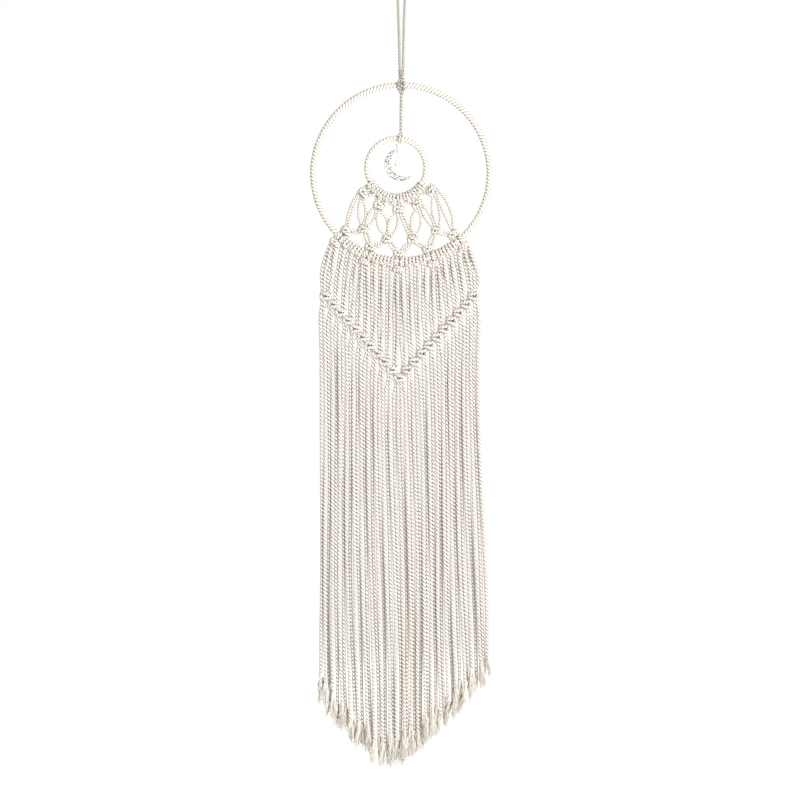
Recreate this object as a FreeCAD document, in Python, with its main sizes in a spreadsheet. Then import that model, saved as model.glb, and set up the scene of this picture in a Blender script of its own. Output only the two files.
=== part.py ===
import FreeCAD, Part
import math
import os

import Sketcher

# Wall-hung macrame dream catcher.  Millimetres, +X right, -Y towards the viewer, +Z up.
# The origin is where the nail bears on the underside of the hanging loop's eye.

SIZES = {
    # cords
    "cord_radius": 1.95,
    "net_cord_radius": 1.65,
    "cord_pitch": 4.23,
    "cord_count": 44,
    "thread_radius": 0.45,
    # hanging loop and the knot that gathers it
    "loop_cord_radius": 1.6,
    "eye_radius": 5.0,
    "strand_offset": 1.85,
    "gather_top": 104.8,
    "gather_length": 16.6,
    "gather_radius": 3.4,
    "gather_fillet": 1.4,
    "swivel_gap": 0.4,
    # the two hoops
    "hang_drop": 230.0,
    "wire_radius": 1.5,
    "outer_hoop_radius": 101.5,
    "outer_wrap_radius": 3.65,
    "inner_hoop_radius": 34.0,
    "inner_wrap_radius": 3.25,
    "inner_hoop_shift": -5.6,
    "inner_hoop_rise": 6.3,
    "wire_clearance": 0.03,
    "collar_clearance": 0.15,
    # hitch, tie and drop cord at the top of the hoops
    "hitch_radius": 5.6,
    "hitch_half_gap": 2.05,
    "hitch_half_turn": 1.55,
    "hitch_roof": 0.5,
    "tie_radius": 4.8,
    "tie_half_turn": 1.5,
    "tie_drop": 8.2,
    "tie_knot_width": 6.0,
    "tie_knot_height": 4.6,
    "tie_knot_depth": 6.0,
    "tie_knot_sink": 1.0,
    "drop_cord_shift": -1.0,
    "drop_cord_radius": 1.8,
    "drop_gap": 2.6,
    # square knots: width across the cords, front-to-back depth, height
    "knot_width": 12.4,
    "knot_depth": 9.0,
    "knot_height": 8.6,
    "knot_fillet": 2.4,
    "knot_fillet_share": 0.45,
    "knot_gap": 2.2,
    "net_stagger": 1.75,
    "slant_gap": 3.6,
    # where the net's rows of knots lie: radius and angles about a hoop's centre
    "row_one_radius": 47.8,
    "row_one_middle": 272.8,
    "row_one_step": 27.4,
    "row_two_radius": 77.6,
    "row_two_middle": 269.0,
    "row_two_step": 21.8,
    "row_two_lean": 0.3,
    "hoop_knot_middle": 268.5,
    "hoop_knot_step": 21.0,
    "hoop_knot_inset": 9.6,
    "hoop_knot_outset": 8.6,
    "hoop_knot_lower_height": 6.4,
    "hoop_knot_arc": 6.2,
    "hoop_knot_turn_radius": 5.6,
    # lark's heads
    "head_radius": 5.0,
    "outer_head_step": 4.75,
    "outer_head_arc": 4.6,
    "inner_head_middle": 268.5,
    "inner_head_step": 12.3,
    "inner_head_arc": 11.9,
    "inner_head_radius": 4.6,
    # curtain and its V of square knots
    "curtain_shift": -2.2,
    "curtain_stagger": 2.1,
    "curtain_pinch": 0.8,
    "v_tip_drop": 235.5,
    "v_step": 9.4,
    "v_knots_per_side": 10,
    # fringe: how far below the hoop's centre the cords end
    "fringe_drop": 687.0,
    "fringe_lowest_shift": -22.0,
    "fringe_rise_left": 0.121,
    "fringe_rise_right": 0.088,
    "fringe_power": 1.5,
    # charm
    "charm_shift": -5.1,
    "thread_foot_radius": 1.35,
    "ring_wire_radius": 0.38,
    "upper_ring_radius": 1.6,
    "lower_ring_radius": 1.5,
    "bail_radius": 1.3,
    "link_gap": 0.06,
    "moon_radius": 18.4,
    "moon_belly": 7.0,
    "moon_thickness": 1.6,
    "moon_shift": -0.8,
    "moon_rise": 10.1,
    "moon_axis_angle": 30.0,
    "moon_horn_angle": 75.5,
    "moon_hole_radius": 1.15,
    "moon_hole_share": 0.22,
    "moon_hole_count": 7,
    "moon_hole_step": 14.0,
    "bail_rise": 26.7,
    "bead_radius": 2.5,
    "bead_neck_radius": 0.5,
    "bead_top_rise": 14.2,
    "bead_height": 7.2,
    "pin_ring_radius": 0.95,
    "pin_wire_radius": 0.26,
    "pin_stem_radius": 0.2,
}

UPRIGHT = FreeCAD.Rotation(FreeCAD.Vector(1, 0, 0), 90)
EDGE_ON = FreeCAD.Rotation(FreeCAD.Vector(0, 1, 0), 90)
TOP = 90.0
FOOT = 270.0
HOOP_KNOT_NAMES = ["far_left", "left", "centre", "right", "far_right"]
HEAD_GROUP_NAMES = ["outer_left", "inner_left", "inner_right", "outer_right"]
HEADS_PER_GROUP = 3
INNER_HEADS = 10
NET_TOP_KNOTS = 5
NET_LOWER_KNOTS = 4
CORDS_PER_KNOT = 4
CURTAIN_GROUPS = [
    ("far_left", 4),
    ("outer_left", 6),
    ("left", 4),
    ("inner_left", 6),
    ("centre", 4),
    ("inner_right", 6),
    ("right", 4),
    ("outer_right", 6),
    ("far_right", 4),
]
# (name, side, first V knot, last V knot) with the knots numbered from the hoop down
FRINGE_PANELS = [
    ("left_outer", -1, 1, 3),
    ("left_middle", -1, 4, 6),
    ("left_inner", -1, 7, 10),
    ("right_inner", 1, 7, 10),
    ("right_middle", 1, 4, 6),
    ("right_outer", 1, 1, 3),
]

doc = FreeCAD.newDocument("DreamCatcher")
sheet = doc.addObject("Spreadsheet::Sheet", "Sizes")
for row, (alias, number) in enumerate(SIZES.items(), start=1):
    sheet.set(f"A{row}", alias)
    sheet.set(f"B{row}", str(number))
    sheet.setAlias(f"B{row}", alias)
doc.recompute()

parts = []


def size(alias):
    """A driving dimension, read from the sheet."""
    return float(sheet.get(alias))


def bind(obj, **expressions):
    """Ties properties of an object to cells of the sheet."""
    for name, expression in expressions.items():
        obj.setExpression(name, expression)
    return obj


def keep(obj, label):
    """Marks an object as a finished sub-part, whose Label names its file."""
    obj.Label = label
    parts.append(obj)
    return obj


def point(across, above, forward=0.0):
    """A point given from the outer hoop's centre: across +X, above +Z, forward towards -Y."""
    return FreeCAD.Vector(across, -forward, above - size("hang_drop"))


def polar(radius, angle, across=0.0, above=0.0):
    """(across, above) of a point at a radius and an angle about a centre in the hoops' plane."""
    turn = math.radians(angle)
    return across + radius * math.cos(turn), above + radius * math.sin(turn)


# ---------------------------------------------------------------- shared shapes


def torus(name, major, minor, centre, start=0.0, sweep=360.0):
    """A ring, or a stretch of one, that stands upright in the plane of the hoops."""
    ring = doc.addObject("Part::Torus", name)
    bind(ring, Radius1=major, Radius2=minor)
    ring.Angle3 = sweep
    turn = FreeCAD.Rotation(FreeCAD.Vector(0, 0, 1), start)
    ring.Placement = FreeCAD.Placement(point(*centre), UPRIGHT.multiply(turn))
    return ring


def cylinder(name, start, end, radius):
    """A straight round length between two points."""
    length = end - start
    rod = doc.addObject("Part::Cylinder", name)
    bind(rod, Radius=radius)
    rod.Height = length.Length
    rod.Placement = FreeCAD.Placement(
        start, FreeCAD.Rotation(FreeCAD.Vector(0, 0, 1), length)
    )
    return rod


def rounded_block(
    name, centre, lean=0.0, width="knot_width", height="knot_height", depth="knot_depth"
):
    """A square knot's closed outer shape, centred on a point and leaning in the hoops' plane."""
    block = doc.addObject("Part::Box", name + "_block")
    bind(block, Length=f"Sizes.{width}", Width=f"Sizes.{depth}", Height=f"Sizes.{height}")
    middle = FreeCAD.Vector(size(width) / 2, size(depth) / 2, size(height) / 2)
    turn = FreeCAD.Rotation(FreeCAD.Vector(0, -1, 0), lean)
    block.Placement = FreeCAD.Placement(centre - turn.multVec(middle), turn)
    doc.recompute()
    knot = doc.addObject("Part::Fillet", name)
    knot.Base = block
    share = size("knot_fillet_share")
    radius = min(size("knot_fillet"), share * size(height), share * size(depth))
    knot.Edges = [(number + 1, radius, radius) for number in range(len(block.Shape.Edges))]
    return knot


def compound(name, members):
    group = doc.addObject("Part::Compound", name)
    group.Links = members
    return group


def cut(name, base, tool):
    result = doc.addObject("Part::Cut", name)
    result.Base = base
    result.Tool = tool
    return result


def fuse(name, members):
    result = doc.addObject("Part::MultiFuse", name)
    result.Shapes = members
    result.Refine = False
    return result


def teardrop(top_radius, top_rise, low_radius, low_rise, sideways, closed):
    """A loop's centreline: an arc over the top, straight sides, and an arc below when closed."""
    lean = math.asin((top_radius - low_radius) / (top_rise - low_rise))
    up = FreeCAD.Vector(0, 0, 1)

    def on(radius, rise, angle):
        return up * (rise + radius * math.sin(angle)) + sideways * (radius * math.cos(angle))

    top_right = on(top_radius, top_rise, -lean)
    top_left = on(top_radius, top_rise, math.pi + lean)
    low_right = on(low_radius, low_rise, -lean)
    low_left = on(low_radius, low_rise, math.pi + lean)
    crown = on(top_radius, top_rise, math.pi / 2)
    edges = [
        Part.LineSegment(low_right, top_right).toShape(),
        Part.Arc(top_right, crown, top_left).toShape(),
        Part.LineSegment(top_left, low_left).toShape(),
    ]
    if closed:
        foot = on(low_radius, low_rise, -math.pi / 2)
        edges.append(Part.Arc(low_left, foot, low_right).toShape())
    return Part.Wire(edges)


def swept_cord(name, path, cord_radius):
    """A round cord of the sheet's radius, swept along a path."""
    start = path.Edges[0]
    first = start.valueAt(start.FirstParameter)
    heading = start.tangentAt(start.FirstParameter)
    profile = Part.Wire(Part.Circle(first, heading, size(cord_radius)).toShape())
    solid = path.makePipeShell([profile], True, False)
    cord = doc.addObject("Part::Feature", name)
    cord.Shape = solid
    return cord


# ---------------------------------------------------------------- hanging loop


def make_hanging_loop():
    """Two strands of cord that run down from the nail's eye to the gathering knot."""
    crown = size("loop_cord_radius") - size("eye_radius")
    foot = size("swivel_gap") - size("gather_top")
    path = teardrop(
        size("eye_radius"), crown, size("strand_offset"), foot, FreeCAD.Vector(1, 0, 0), False
    )
    keep(swept_cord("HangingLoop", path, "loop_cord_radius"), "hanging_loop")

    top = FreeCAD.Vector(0, 0, -size("gather_top"))
    foot_point = top - FreeCAD.Vector(0, 0, size("gather_length"))
    barrel = cylinder("GatherBarrel", foot_point, top, "Sizes.gather_radius")
    bind(barrel, Height="Sizes.gather_length")
    doc.recompute()
    knot = doc.addObject("Part::Fillet", "GatheringKnot")
    knot.Base = barrel
    rim = size("gather_fillet")
    knot.Edges = [
        (number + 1, rim, rim)
        for number, edge in enumerate(barrel.Shape.Edges)
        if isinstance(edge.Curve, Part.Circle)
    ]
    keep(knot, "gathering_knot")


# ---------------------------------------------------------------- hoops


def make_hoop(label, major, wrap, centre, wrap_start, wrap_sweep):
    """A closed wire ring and the tube of cord wound over the part that stays in view."""
    wire = torus(label + "Wire", f"Sizes.{major}", "Sizes.wire_radius", centre)
    keep(wire, f"{label}_wire")
    wound = torus(
        label + "Wound", f"Sizes.{major}", f"Sizes.{wrap}", centre, wrap_start, wrap_sweep
    )
    bore = torus(
        label + "Bore", f"Sizes.{major}", "Sizes.wire_radius + Sizes.wire_clearance", centre
    )
    keep(cut(label + "Wrap", wound, bore), f"{label}_wrap")


def collar(name, major, minor, centre, middle, arc):
    """A stretch of cord wound round a hoop's tube, as a thick ring centred on an angle."""
    return torus(name, f"Sizes.{major}", minor, centre, middle - arc / 2, arc)


def arc_of(width, radius):
    """The angle, in degrees, that a width takes on a circle."""
    return math.degrees(width / radius)


def make_hoops():
    outer_start = hoop_knot_angle(len(HOOP_KNOT_NAMES) - 1) + size("hoop_knot_arc") / 2
    outer_end = hoop_knot_angle(0) - size("hoop_knot_arc") / 2
    make_hoop(
        "outer_hoop", "outer_hoop_radius", "outer_wrap_radius", (0.0, 0.0),
        outer_start, outer_end - outer_start + 360.0,
    )
    half_heads = INNER_HEADS / 2 * size("inner_head_step")
    inner_start = size("inner_head_middle") + half_heads
    make_hoop(
        "inner_hoop", "inner_hoop_radius", "inner_wrap_radius", inner_centre(),
        inner_start, 360.0 - 2 * half_heads,
    )


def inner_centre():
    return size("inner_hoop_shift"), size("inner_hoop_rise")


def hoop_knot_angle(index):
    """The angle on the outer hoop of one of its five square knots, counted from the left."""
    return size("hoop_knot_middle") + (index - 2) * size("hoop_knot_step")


def make_hitch_and_tie():
    """The hitch that carries the outer hoop, and the drop cord's tie between its two turns."""
    top = size("outer_hoop_radius")
    spread = arc_of(size("hitch_half_gap") + size("hitch_half_turn"), top)
    width = arc_of(2 * size("hitch_half_turn"), top)
    turns = [
        collar(
            f"HitchTurn{number}", "outer_hoop_radius", "Sizes.hitch_radius", (0.0, 0.0),
            TOP + side * spread, width,
        )
        for number, side in enumerate((-1, 1))
    ]
    yoke = doc.addObject("Part::Box", "HitchYoke")
    half = size("hitch_half_gap") + 2 * size("hitch_half_turn")
    low = size("outer_hoop_radius") + size("outer_wrap_radius") + size("collar_clearance")
    bind(
        yoke,
        Length="2 * Sizes.hitch_half_gap + 4 * Sizes.hitch_half_turn",
        Width="2 * Sizes.strand_offset",
        Height="Sizes.hitch_radius - Sizes.outer_wrap_radius - Sizes.collar_clearance",
    )
    yoke.Placement = FreeCAD.Placement(
        point(-half, low, size("strand_offset")), FreeCAD.Rotation()
    )
    bore = torus(
        "HitchBore", "Sizes.outer_hoop_radius",
        "Sizes.outer_wrap_radius + Sizes.collar_clearance", (0.0, 0.0),
    )
    tie_space = collar(
        "TieSpace", "outer_hoop_radius", "Sizes.hitch_radius - Sizes.hitch_roof", (0.0, 0.0),
        TOP, arc_of(2 * size("hitch_half_gap"), top),
    )
    hitch_body = fuse("HitchBody", turns + [yoke])
    keep(cut("Hitch", hitch_body, compound("HitchRoom", [bore, tie_space])), "hoop_hitch")

    turn = collar(
        "TieTurn", "outer_hoop_radius", "Sizes.tie_radius", (0.0, 0.0),
        TOP, arc_of(2 * size("tie_half_turn"), top),
    )
    knot = rounded_block(
        "TieKnot", point(0.0, top - size("tie_drop")), 0.0,
        "tie_knot_width", "tie_knot_height", "tie_knot_depth",
    )
    tie_bore = torus(
        "TieBore", "Sizes.outer_hoop_radius",
        "Sizes.outer_wrap_radius + Sizes.wire_clearance", (0.0, 0.0),
    )
    keep(cut("DropCordTie", fuse("TieBody", [turn, knot]), tie_bore), "drop_cord_tie")


def make_drop_cord():
    """The single cord from the outer hoop's top to the inner hoop, and its knot there."""
    across, above = drop_cord_foot()
    low = above + size("inner_wrap_radius") + size("drop_gap")
    tie_foot = size("outer_hoop_radius") - size("tie_drop") - size("tie_knot_height") / 2
    start = point(across, low + size("drop_gap"))
    end = point(0.0, tie_foot - size("drop_gap"))
    cord = cylinder("DropCord", start, end, "Sizes.drop_cord_radius")
    keep(cord, "drop_cord")

    centre = inner_centre()
    angle = math.degrees(math.atan2(above - centre[1], across - centre[0]))
    turn = collar(
        "DropKnotTurn", "inner_hoop_radius", "Sizes.inner_wrap_radius + Sizes.drop_cord_radius",
        centre, angle, arc_of(size("tie_knot_width"), size("inner_hoop_radius")),
    )
    knot_middle = low - size("tie_knot_height") / 2 + size("tie_knot_sink")
    knot = rounded_block(
        "DropKnotHead", point(across, knot_middle), 0.0,
        "tie_knot_width", "tie_knot_height", "tie_knot_depth",
    )
    bore = torus(
        "DropKnotBore", "Sizes.inner_hoop_radius",
        "Sizes.inner_wrap_radius + Sizes.wire_clearance", centre,
    )
    keep(cut("DropCordKnot", fuse("DropKnotBody", [turn, knot]), bore), "drop_cord_knot")


def drop_cord_foot():
    """(across, above) of the point on the inner hoop's ring where the drop cord is tied."""
    centre = inner_centre()
    across = size("drop_cord_shift")
    reach = across - centre[0]
    return across, centre[1] + math.sqrt(size("inner_hoop_radius") ** 2 - reach ** 2)


# ---------------------------------------------------------------- lark's heads and hoop knots


def wire_bore(name, major, centre):
    """The room that a hoop's bare wire takes through whatever is tied round it."""
    return torus(name, f"Sizes.{major}", "Sizes.wire_radius + Sizes.wire_clearance", centre)


def make_lark_heads():
    """Cords folded over the bare wire, as groups of thick rings side by side."""
    for group, label in enumerate(HEAD_GROUP_NAMES):
        middle = hoop_knot_angle(group + 0.5)
        heads = [
            collar(
                f"Head_{label}_{number}", "outer_hoop_radius", "Sizes.head_radius", (0.0, 0.0),
                middle + (number - 1) * size("outer_head_step"), size("outer_head_arc"),
            )
            for number in range(HEADS_PER_GROUP)
        ]
        head_set = compound(f"HeadSet_{label}", heads)
        bore = wire_bore(f"HeadBore_{label}", "outer_hoop_radius", (0.0, 0.0))
        keep(cut(f"Heads_{label}", head_set, bore), f"lark_heads_{label}")

    centre = inner_centre()
    heads = [
        collar(
            f"InnerHead_{number}", "inner_hoop_radius", "Sizes.inner_head_radius", centre,
            inner_head_angle(number), size("inner_head_arc"),
        )
        for number in range(INNER_HEADS)
    ]
    bore = wire_bore("InnerHeadBore", "inner_hoop_radius", centre)
    keep(cut("InnerHeads", compound("InnerHeadSet", heads), bore), "inner_lark_heads")


def inner_head_angle(number):
    return size("inner_head_middle") + (number - (INNER_HEADS - 1) / 2) * size("inner_head_step")


def make_hoop_knots():
    """Square knots tied just inside and just outside the hoop, with their cords round its wire."""
    radius = size("outer_hoop_radius")
    for index, label in enumerate(HOOP_KNOT_NAMES):
        angle = hoop_knot_angle(index)
        lean = angle - FOOT
        upper = polar(radius - size("hoop_knot_inset"), angle)
        lower = polar(radius + size("hoop_knot_outset"), angle)
        pieces = [
            rounded_block(f"HoopKnotUpper_{label}", point(*upper), lean),
            rounded_block(
                f"HoopKnotLower_{label}", point(*lower), lean, height="hoop_knot_lower_height"
            ),
            collar(
                f"HoopKnotTurn_{label}", "outer_hoop_radius", "Sizes.hoop_knot_turn_radius",
                (0.0, 0.0), angle, size("hoop_knot_arc"),
            ),
        ]
        knot_body = fuse(f"HoopKnotBody_{label}", pieces)
        bore = wire_bore(f"HoopKnotBore_{label}", "outer_hoop_radius", (0.0, 0.0))
        keep(cut(f"HoopKnot_{label}", knot_body, bore), f"hoop_knot_{label}")


# ---------------------------------------------------------------- net


def row_one_place(index):
    angle = size("row_one_middle") + (index - (NET_TOP_KNOTS - 1) / 2) * size("row_one_step")
    return polar(size("row_one_radius"), angle, *inner_centre()) + (angle - FOOT,)


def row_two_place(index):
    angle = size("row_two_middle") + (index - (NET_LOWER_KNOTS - 1) / 2) * size("row_two_step")
    return polar(size("row_two_radius"), angle) + (size("row_two_lean") * (angle - FOOT),)


def row_three_place(index):
    angle = hoop_knot_angle(index)
    inset = size("outer_hoop_radius") - size("hoop_knot_inset")
    return polar(inset, angle) + (angle - FOOT,)


def knot_port(place, slot, below, gap="knot_gap"):
    """Where one of a knot's four cords, counted from the left, enters its top or leaves its foot."""
    across, above, lean = place
    turn = math.radians(lean)
    pitch = (size("knot_width") - size("net_cord_radius")) / (CORDS_PER_KNOT - 1)
    shift = (slot - (CORDS_PER_KNOT - 1) / 2) * pitch
    reach = size("knot_height") / 2 + size(gap)
    if below:
        reach = -reach
    return point(
        across + shift * math.cos(turn) - reach * math.sin(turn),
        above + shift * math.sin(turn) + reach * math.cos(turn),
        size("net_stagger") * (1 if slot % 2 else -1),
    )


def make_net():
    """Rows of square knots, and the cords that part and meet between them."""
    top = [row_one_place(index) for index in range(NET_TOP_KNOTS)]
    lower = [row_two_place(index) for index in range(NET_LOWER_KNOTS)]
    hoop = [row_three_place(index) for index in range(len(HOOP_KNOT_NAMES))]
    for label, places in (("upper", top), ("lower", lower)):
        knots = [
            rounded_block(f"NetKnot_{label}_{number}", point(place[0], place[1]), place[2])
            for number, place in enumerate(places)
        ]
        keep(compound(f"NetKnots_{label}", knots), f"net_knots_{label}")

    middle = []
    for number, place in enumerate(lower):
        for slot in (0, 1):
            middle.append((knot_port(top[number], slot + 2, True), knot_port(place, slot, False)))
            middle.append((knot_port(top[number + 1], slot, True), knot_port(place, slot + 2, False)))
    bottom = []
    for number, place in enumerate(lower):
        for slot in (0, 1):
            left_start = knot_port(place, slot, True, "slant_gap")
            right_start = knot_port(place, slot + 2, True, "slant_gap")
            bottom.append((left_start, knot_port(hoop[number], slot + 2, False)))
            bottom.append((right_start, knot_port(hoop[number + 1], slot, False)))
    sides = []
    for slot in (0, 1):
        sides.append((knot_port(top[0], slot, True), knot_port(hoop[0], slot, False)))
        sides.append((knot_port(top[-1], slot + 2, True), knot_port(hoop[-1], slot + 2, False)))
    for label, runs in (("middle", middle), ("bottom", bottom), ("sides", sides)):
        cords = [
            cylinder(f"NetCord_{label}_{number}", start, end, "Sizes.net_cord_radius")
            for number, (start, end) in enumerate(runs)
        ]
        keep(compound(f"NetCords_{label}", cords), f"net_cords_{label}")


# ---------------------------------------------------------------- curtain and fringe


def cord_across(number):
    """How far across a curtain cord hangs, with the cords numbered from 1 at the left."""
    return size("curtain_shift") + (number - (size("cord_count") + 1) / 2) * size("cord_pitch")


def v_knot_place(side, number):
    """(across, above) of a V knot: side -1 is left, and knot 1 is the one nearest the hoop."""
    steps_out = size("v_knots_per_side") + 1 - number
    across = size("curtain_shift") + side * steps_out * 2 * size("cord_pitch")
    return across, steps_out * size("v_step") - size("v_tip_drop")


def curtain_foot(number):
    """The V knot's height at which a curtain cord ends, just above the knot that takes it."""
    per_side = int(size("v_knots_per_side"))
    inward = number if number <= size("cord_count") / 2 else size("cord_count") + 1 - number
    knot = min(max(1, math.ceil(inward / 2) - 1), per_side + 1)
    above = v_knot_place(-1, knot)[1]
    return above + size("knot_height") / 2 + size("knot_gap")


def make_curtain():
    """Cords that fan out from the hoop, in two layers at the top and in one at the V."""
    first = 1
    for index, (label, count) in enumerate(CURTAIN_GROUPS):
        angle = hoop_knot_angle(index / 2)
        is_knot = index % 2 == 0
        reach = size("head_radius") + size("knot_gap")
        if is_knot:
            reach = size("hoop_knot_outset") + size("hoop_knot_lower_height") / 2 + size("knot_gap")
        spread = size("curtain_pinch") * size("cord_pitch")
        cords = []
        for number in range(first, first + count):
            offset = (number - first - (count - 1) / 2) * spread
            cord_angle = angle + math.degrees(offset / size("outer_hoop_radius"))
            across, above = polar(size("outer_hoop_radius") + reach, cord_angle)
            layer = size("curtain_stagger") * (1 if number % 2 else -1)
            start = point(across, above, layer)
            end = point(cord_across(number), curtain_foot(number))
            cords.append(cylinder(f"CurtainCord{number}", start, end, "Sizes.cord_radius"))
        keep(compound(f"Curtain_{label}", cords), f"curtain_{label}")
        first += count


def make_v_knots():
    per_side = int(size("v_knots_per_side"))
    for label, side in (("left", -1), ("right", 1)):
        knots = [
            rounded_block(f"VKnot_{label}_{number}", point(*v_knot_place(side, number)))
            for number in range(1, per_side + 1)
        ]
        keep(compound(f"VKnots_{label}", knots), f"v_knots_{label}")
    tip = v_knot_place(1, per_side + 1)
    keep(rounded_block("VKnotCentre", point(*tip)), "v_knot_centre")


def fringe_end(across):
    """How far above the hoop's centre a fringe cord ends: deepest near the middle, higher outwards."""
    outward = across - size("fringe_lowest_shift")
    rise = size("fringe_rise_left") if outward < 0 else size("fringe_rise_right")
    return rise * abs(outward) ** size("fringe_power") - size("fringe_drop")


def fringe_cord(number, knot_above):
    across = cord_across(number)
    top = point(across, knot_above - size("knot_height") / 2 - size("knot_gap"))
    tip = point(across, fringe_end(across))
    return cylinder(f"FringeCord{number}", tip, top, "Sizes.cord_radius")


def make_fringe():
    """The free cords below the V, in panels that swing on their own."""
    count = int(size("cord_count"))
    for label, side, first_knot, last_knot in FRINGE_PANELS:
        cords = []
        for knot in range(first_knot, last_knot + 1):
            above = v_knot_place(side, knot)[1]
            for inward in (2 * knot - 1, 2 * knot):
                number = inward if side < 0 else count + 1 - inward
                cords.append(fringe_cord(number, above))
        keep(compound(f"Fringe_{label}", cords), f"fringe_{label}")
    per_side = int(size("v_knots_per_side"))
    above = v_knot_place(1, per_side + 1)[1]
    first = count // 2 - 1
    cords = [fringe_cord(number, above) for number in range(first, first + CORDS_PER_KNOT)]
    keep(compound("Fringe_centre", cords), "fringe_centre")


# ---------------------------------------------------------------- charm


def ring(name, radius, wire, centre, edge_on):
    """A closed wire ring: face-on lies in the hoops' plane, edge-on stands across it."""
    link = doc.addObject("Part::Torus", name)
    bind(link, Radius1=f"Sizes.{radius}", Radius2=f"Sizes.{wire}")
    link.Placement = FreeCAD.Placement(centre, EDGE_ON if edge_on else UPRIGHT)
    return link


def make_charm():
    """A crescent moon and a glass drop on two jump rings, hung from the inner hoop by a thread."""
    across = size("charm_shift")
    wire = size("ring_wire_radius")
    step = 2 * wire + size("link_gap")
    bail = size("bail_rise")
    lower = bail + size("bail_radius") - step + size("lower_ring_radius")
    upper = lower + size("lower_ring_radius") - step + size("upper_ring_radius")
    thread_room = wire + size("link_gap") + size("thread_radius")
    thread_foot = upper + size("upper_ring_radius") - thread_room

    centre = inner_centre()
    hoop_top = centre[1] + size("inner_hoop_radius")
    clear = size("inner_wrap_radius") + size("thread_radius") + size("link_gap")
    foot_radius = size("thread_foot_radius")
    path = teardrop(
        clear, hoop_top, foot_radius, thread_foot + foot_radius, FreeCAD.Vector(0, 1, 0), True
    )
    thread = swept_cord("CharmThread", path, "thread_radius")
    thread.Placement = FreeCAD.Placement(point(across, 0.0), FreeCAD.Rotation())
    keep(thread, "charm_thread")

    keep(
        ring("UpperRing", "upper_ring_radius", "ring_wire_radius", point(across, upper), False),
        "upper_jump_ring",
    )
    keep(
        ring("LowerRing", "lower_ring_radius", "ring_wire_radius", point(across, lower), True),
        "lower_jump_ring",
    )
    make_moon(across, bail)
    make_bead(across, bail)


def make_moon(bail_across, bail_above):
    """A flat crescent with a row of openwork holes and a small bail at its upper horn."""
    axis = size("moon_axis_angle")
    horn = size("moon_horn_angle")
    radius = size("moon_radius")
    waist = radius - size("moon_belly")
    shift = (radius ** 2 - waist ** 2) / (2 * (waist + radius * math.cos(math.radians(horn))))
    hollow = waist + shift
    hollow_centre = FreeCAD.Vector(*polar(shift, axis), 0)

    body = doc.addObject("PartDesign::Body", "MoonBody")
    sketch = body.newObject("Sketcher::SketchObject", "MoonOutline")
    sketch.AttachmentSupport = [(origin_plane(body, "XZ_Plane"), "")]
    sketch.MapMode = "FlatFace"
    upper_tip = math.radians(axis + horn)
    lower_tip = math.radians(axis - horn + 360.0)
    normal = FreeCAD.Vector(0, 0, 1)
    outer = Part.ArcOfCircle(Part.Circle(FreeCAD.Vector(), normal, radius), upper_tip, lower_tip)
    tips = [
        FreeCAD.Vector(*polar(radius, math.degrees(angle)), 0) for angle in (upper_tip, lower_tip)
    ]
    inner_angles = [math.atan2(*(tip - hollow_centre)[1::-1]) % (2 * math.pi) for tip in tips]
    inner = Part.ArcOfCircle(Part.Circle(hollow_centre, normal, hollow), *inner_angles)
    sketch.addGeometry([outer, inner], False)
    sketch.addConstraint(Sketcher.Constraint("Coincident", 0, 3, -1, 1))
    sketch.addConstraint(Sketcher.Constraint("Coincident", 0, 1, 1, 1))
    sketch.addConstraint(Sketcher.Constraint("Coincident", 0, 2, 1, 2))
    limit = sketch.addConstraint(Sketcher.Constraint("Radius", 0, radius))
    sketch.renameConstraint(limit, "OuterRadius")
    sketch.setExpression("Constraints.OuterRadius", "Sizes.moon_radius")
    sketch.addConstraint(Sketcher.Constraint("Radius", 1, hollow))
    sketch.addConstraint(Sketcher.Constraint("DistanceX", -1, 1, 1, 3, hollow_centre.x))
    sketch.addConstraint(Sketcher.Constraint("DistanceY", -1, 1, 1, 3, hollow_centre.y))
    doc.recompute()

    plate = body.newObject("PartDesign::Pad", "MoonPlate")
    plate.Profile = sketch
    plate.SideType = "Symmetric"
    plate.setExpression("Length", "Sizes.moon_thickness")
    doc.recompute()

    openwork = body.newObject("Sketcher::SketchObject", "MoonOpenwork")
    openwork.AttachmentSupport = [(origin_plane(body, "XZ_Plane"), "")]
    openwork.MapMode = "FlatFace"
    count = int(size("moon_hole_count"))
    for number in range(count):
        angle = axis + 180.0 + (number - (count - 1) / 2) * size("moon_hole_step")
        band = crescent_band(angle, hollow_centre, hollow)
        hole = min(size("moon_hole_radius"), size("moon_hole_share") * band[1])
        centre = FreeCAD.Vector(*polar(band[0], angle), 0)
        openwork.addGeometry(Part.Circle(centre, normal, hole), False)
    doc.recompute()
    solid_volume = plate.Shape.Volume
    pierced = body.newObject("PartDesign::Pocket", "MoonHoles")
    pierced.Profile = openwork
    pierced.SideType = "Symmetric"
    pierced.setExpression("Length", "2 * Sizes.moon_thickness")
    doc.recompute()
    if pierced.Shape.Volume >= solid_volume:
        raise RuntimeError("the moon's openwork cut nothing")
    body.Tip = pierced
    centre = point(size("moon_shift"), size("moon_rise"))
    body.Placement = FreeCAD.Placement(centre, FreeCAD.Rotation())

    bail_centre = point(bail_across, bail_above)
    bail = ring("MoonBail", "bail_radius", "ring_wire_radius", bail_centre, False)
    keep(fuse("Moon", [body, bail]), "crescent_moon")


def crescent_band(angle, hollow_centre, hollow):
    """(middle radius, width) of the crescent's band in a direction from its outer centre."""
    turn = math.radians(angle)
    along = hollow_centre.x * math.cos(turn) + hollow_centre.y * math.sin(turn)
    inner = along + math.sqrt(along ** 2 - hollow_centre.Length ** 2 + hollow ** 2)
    return (inner + size("moon_radius")) / 2, size("moon_radius") - inner


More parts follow.
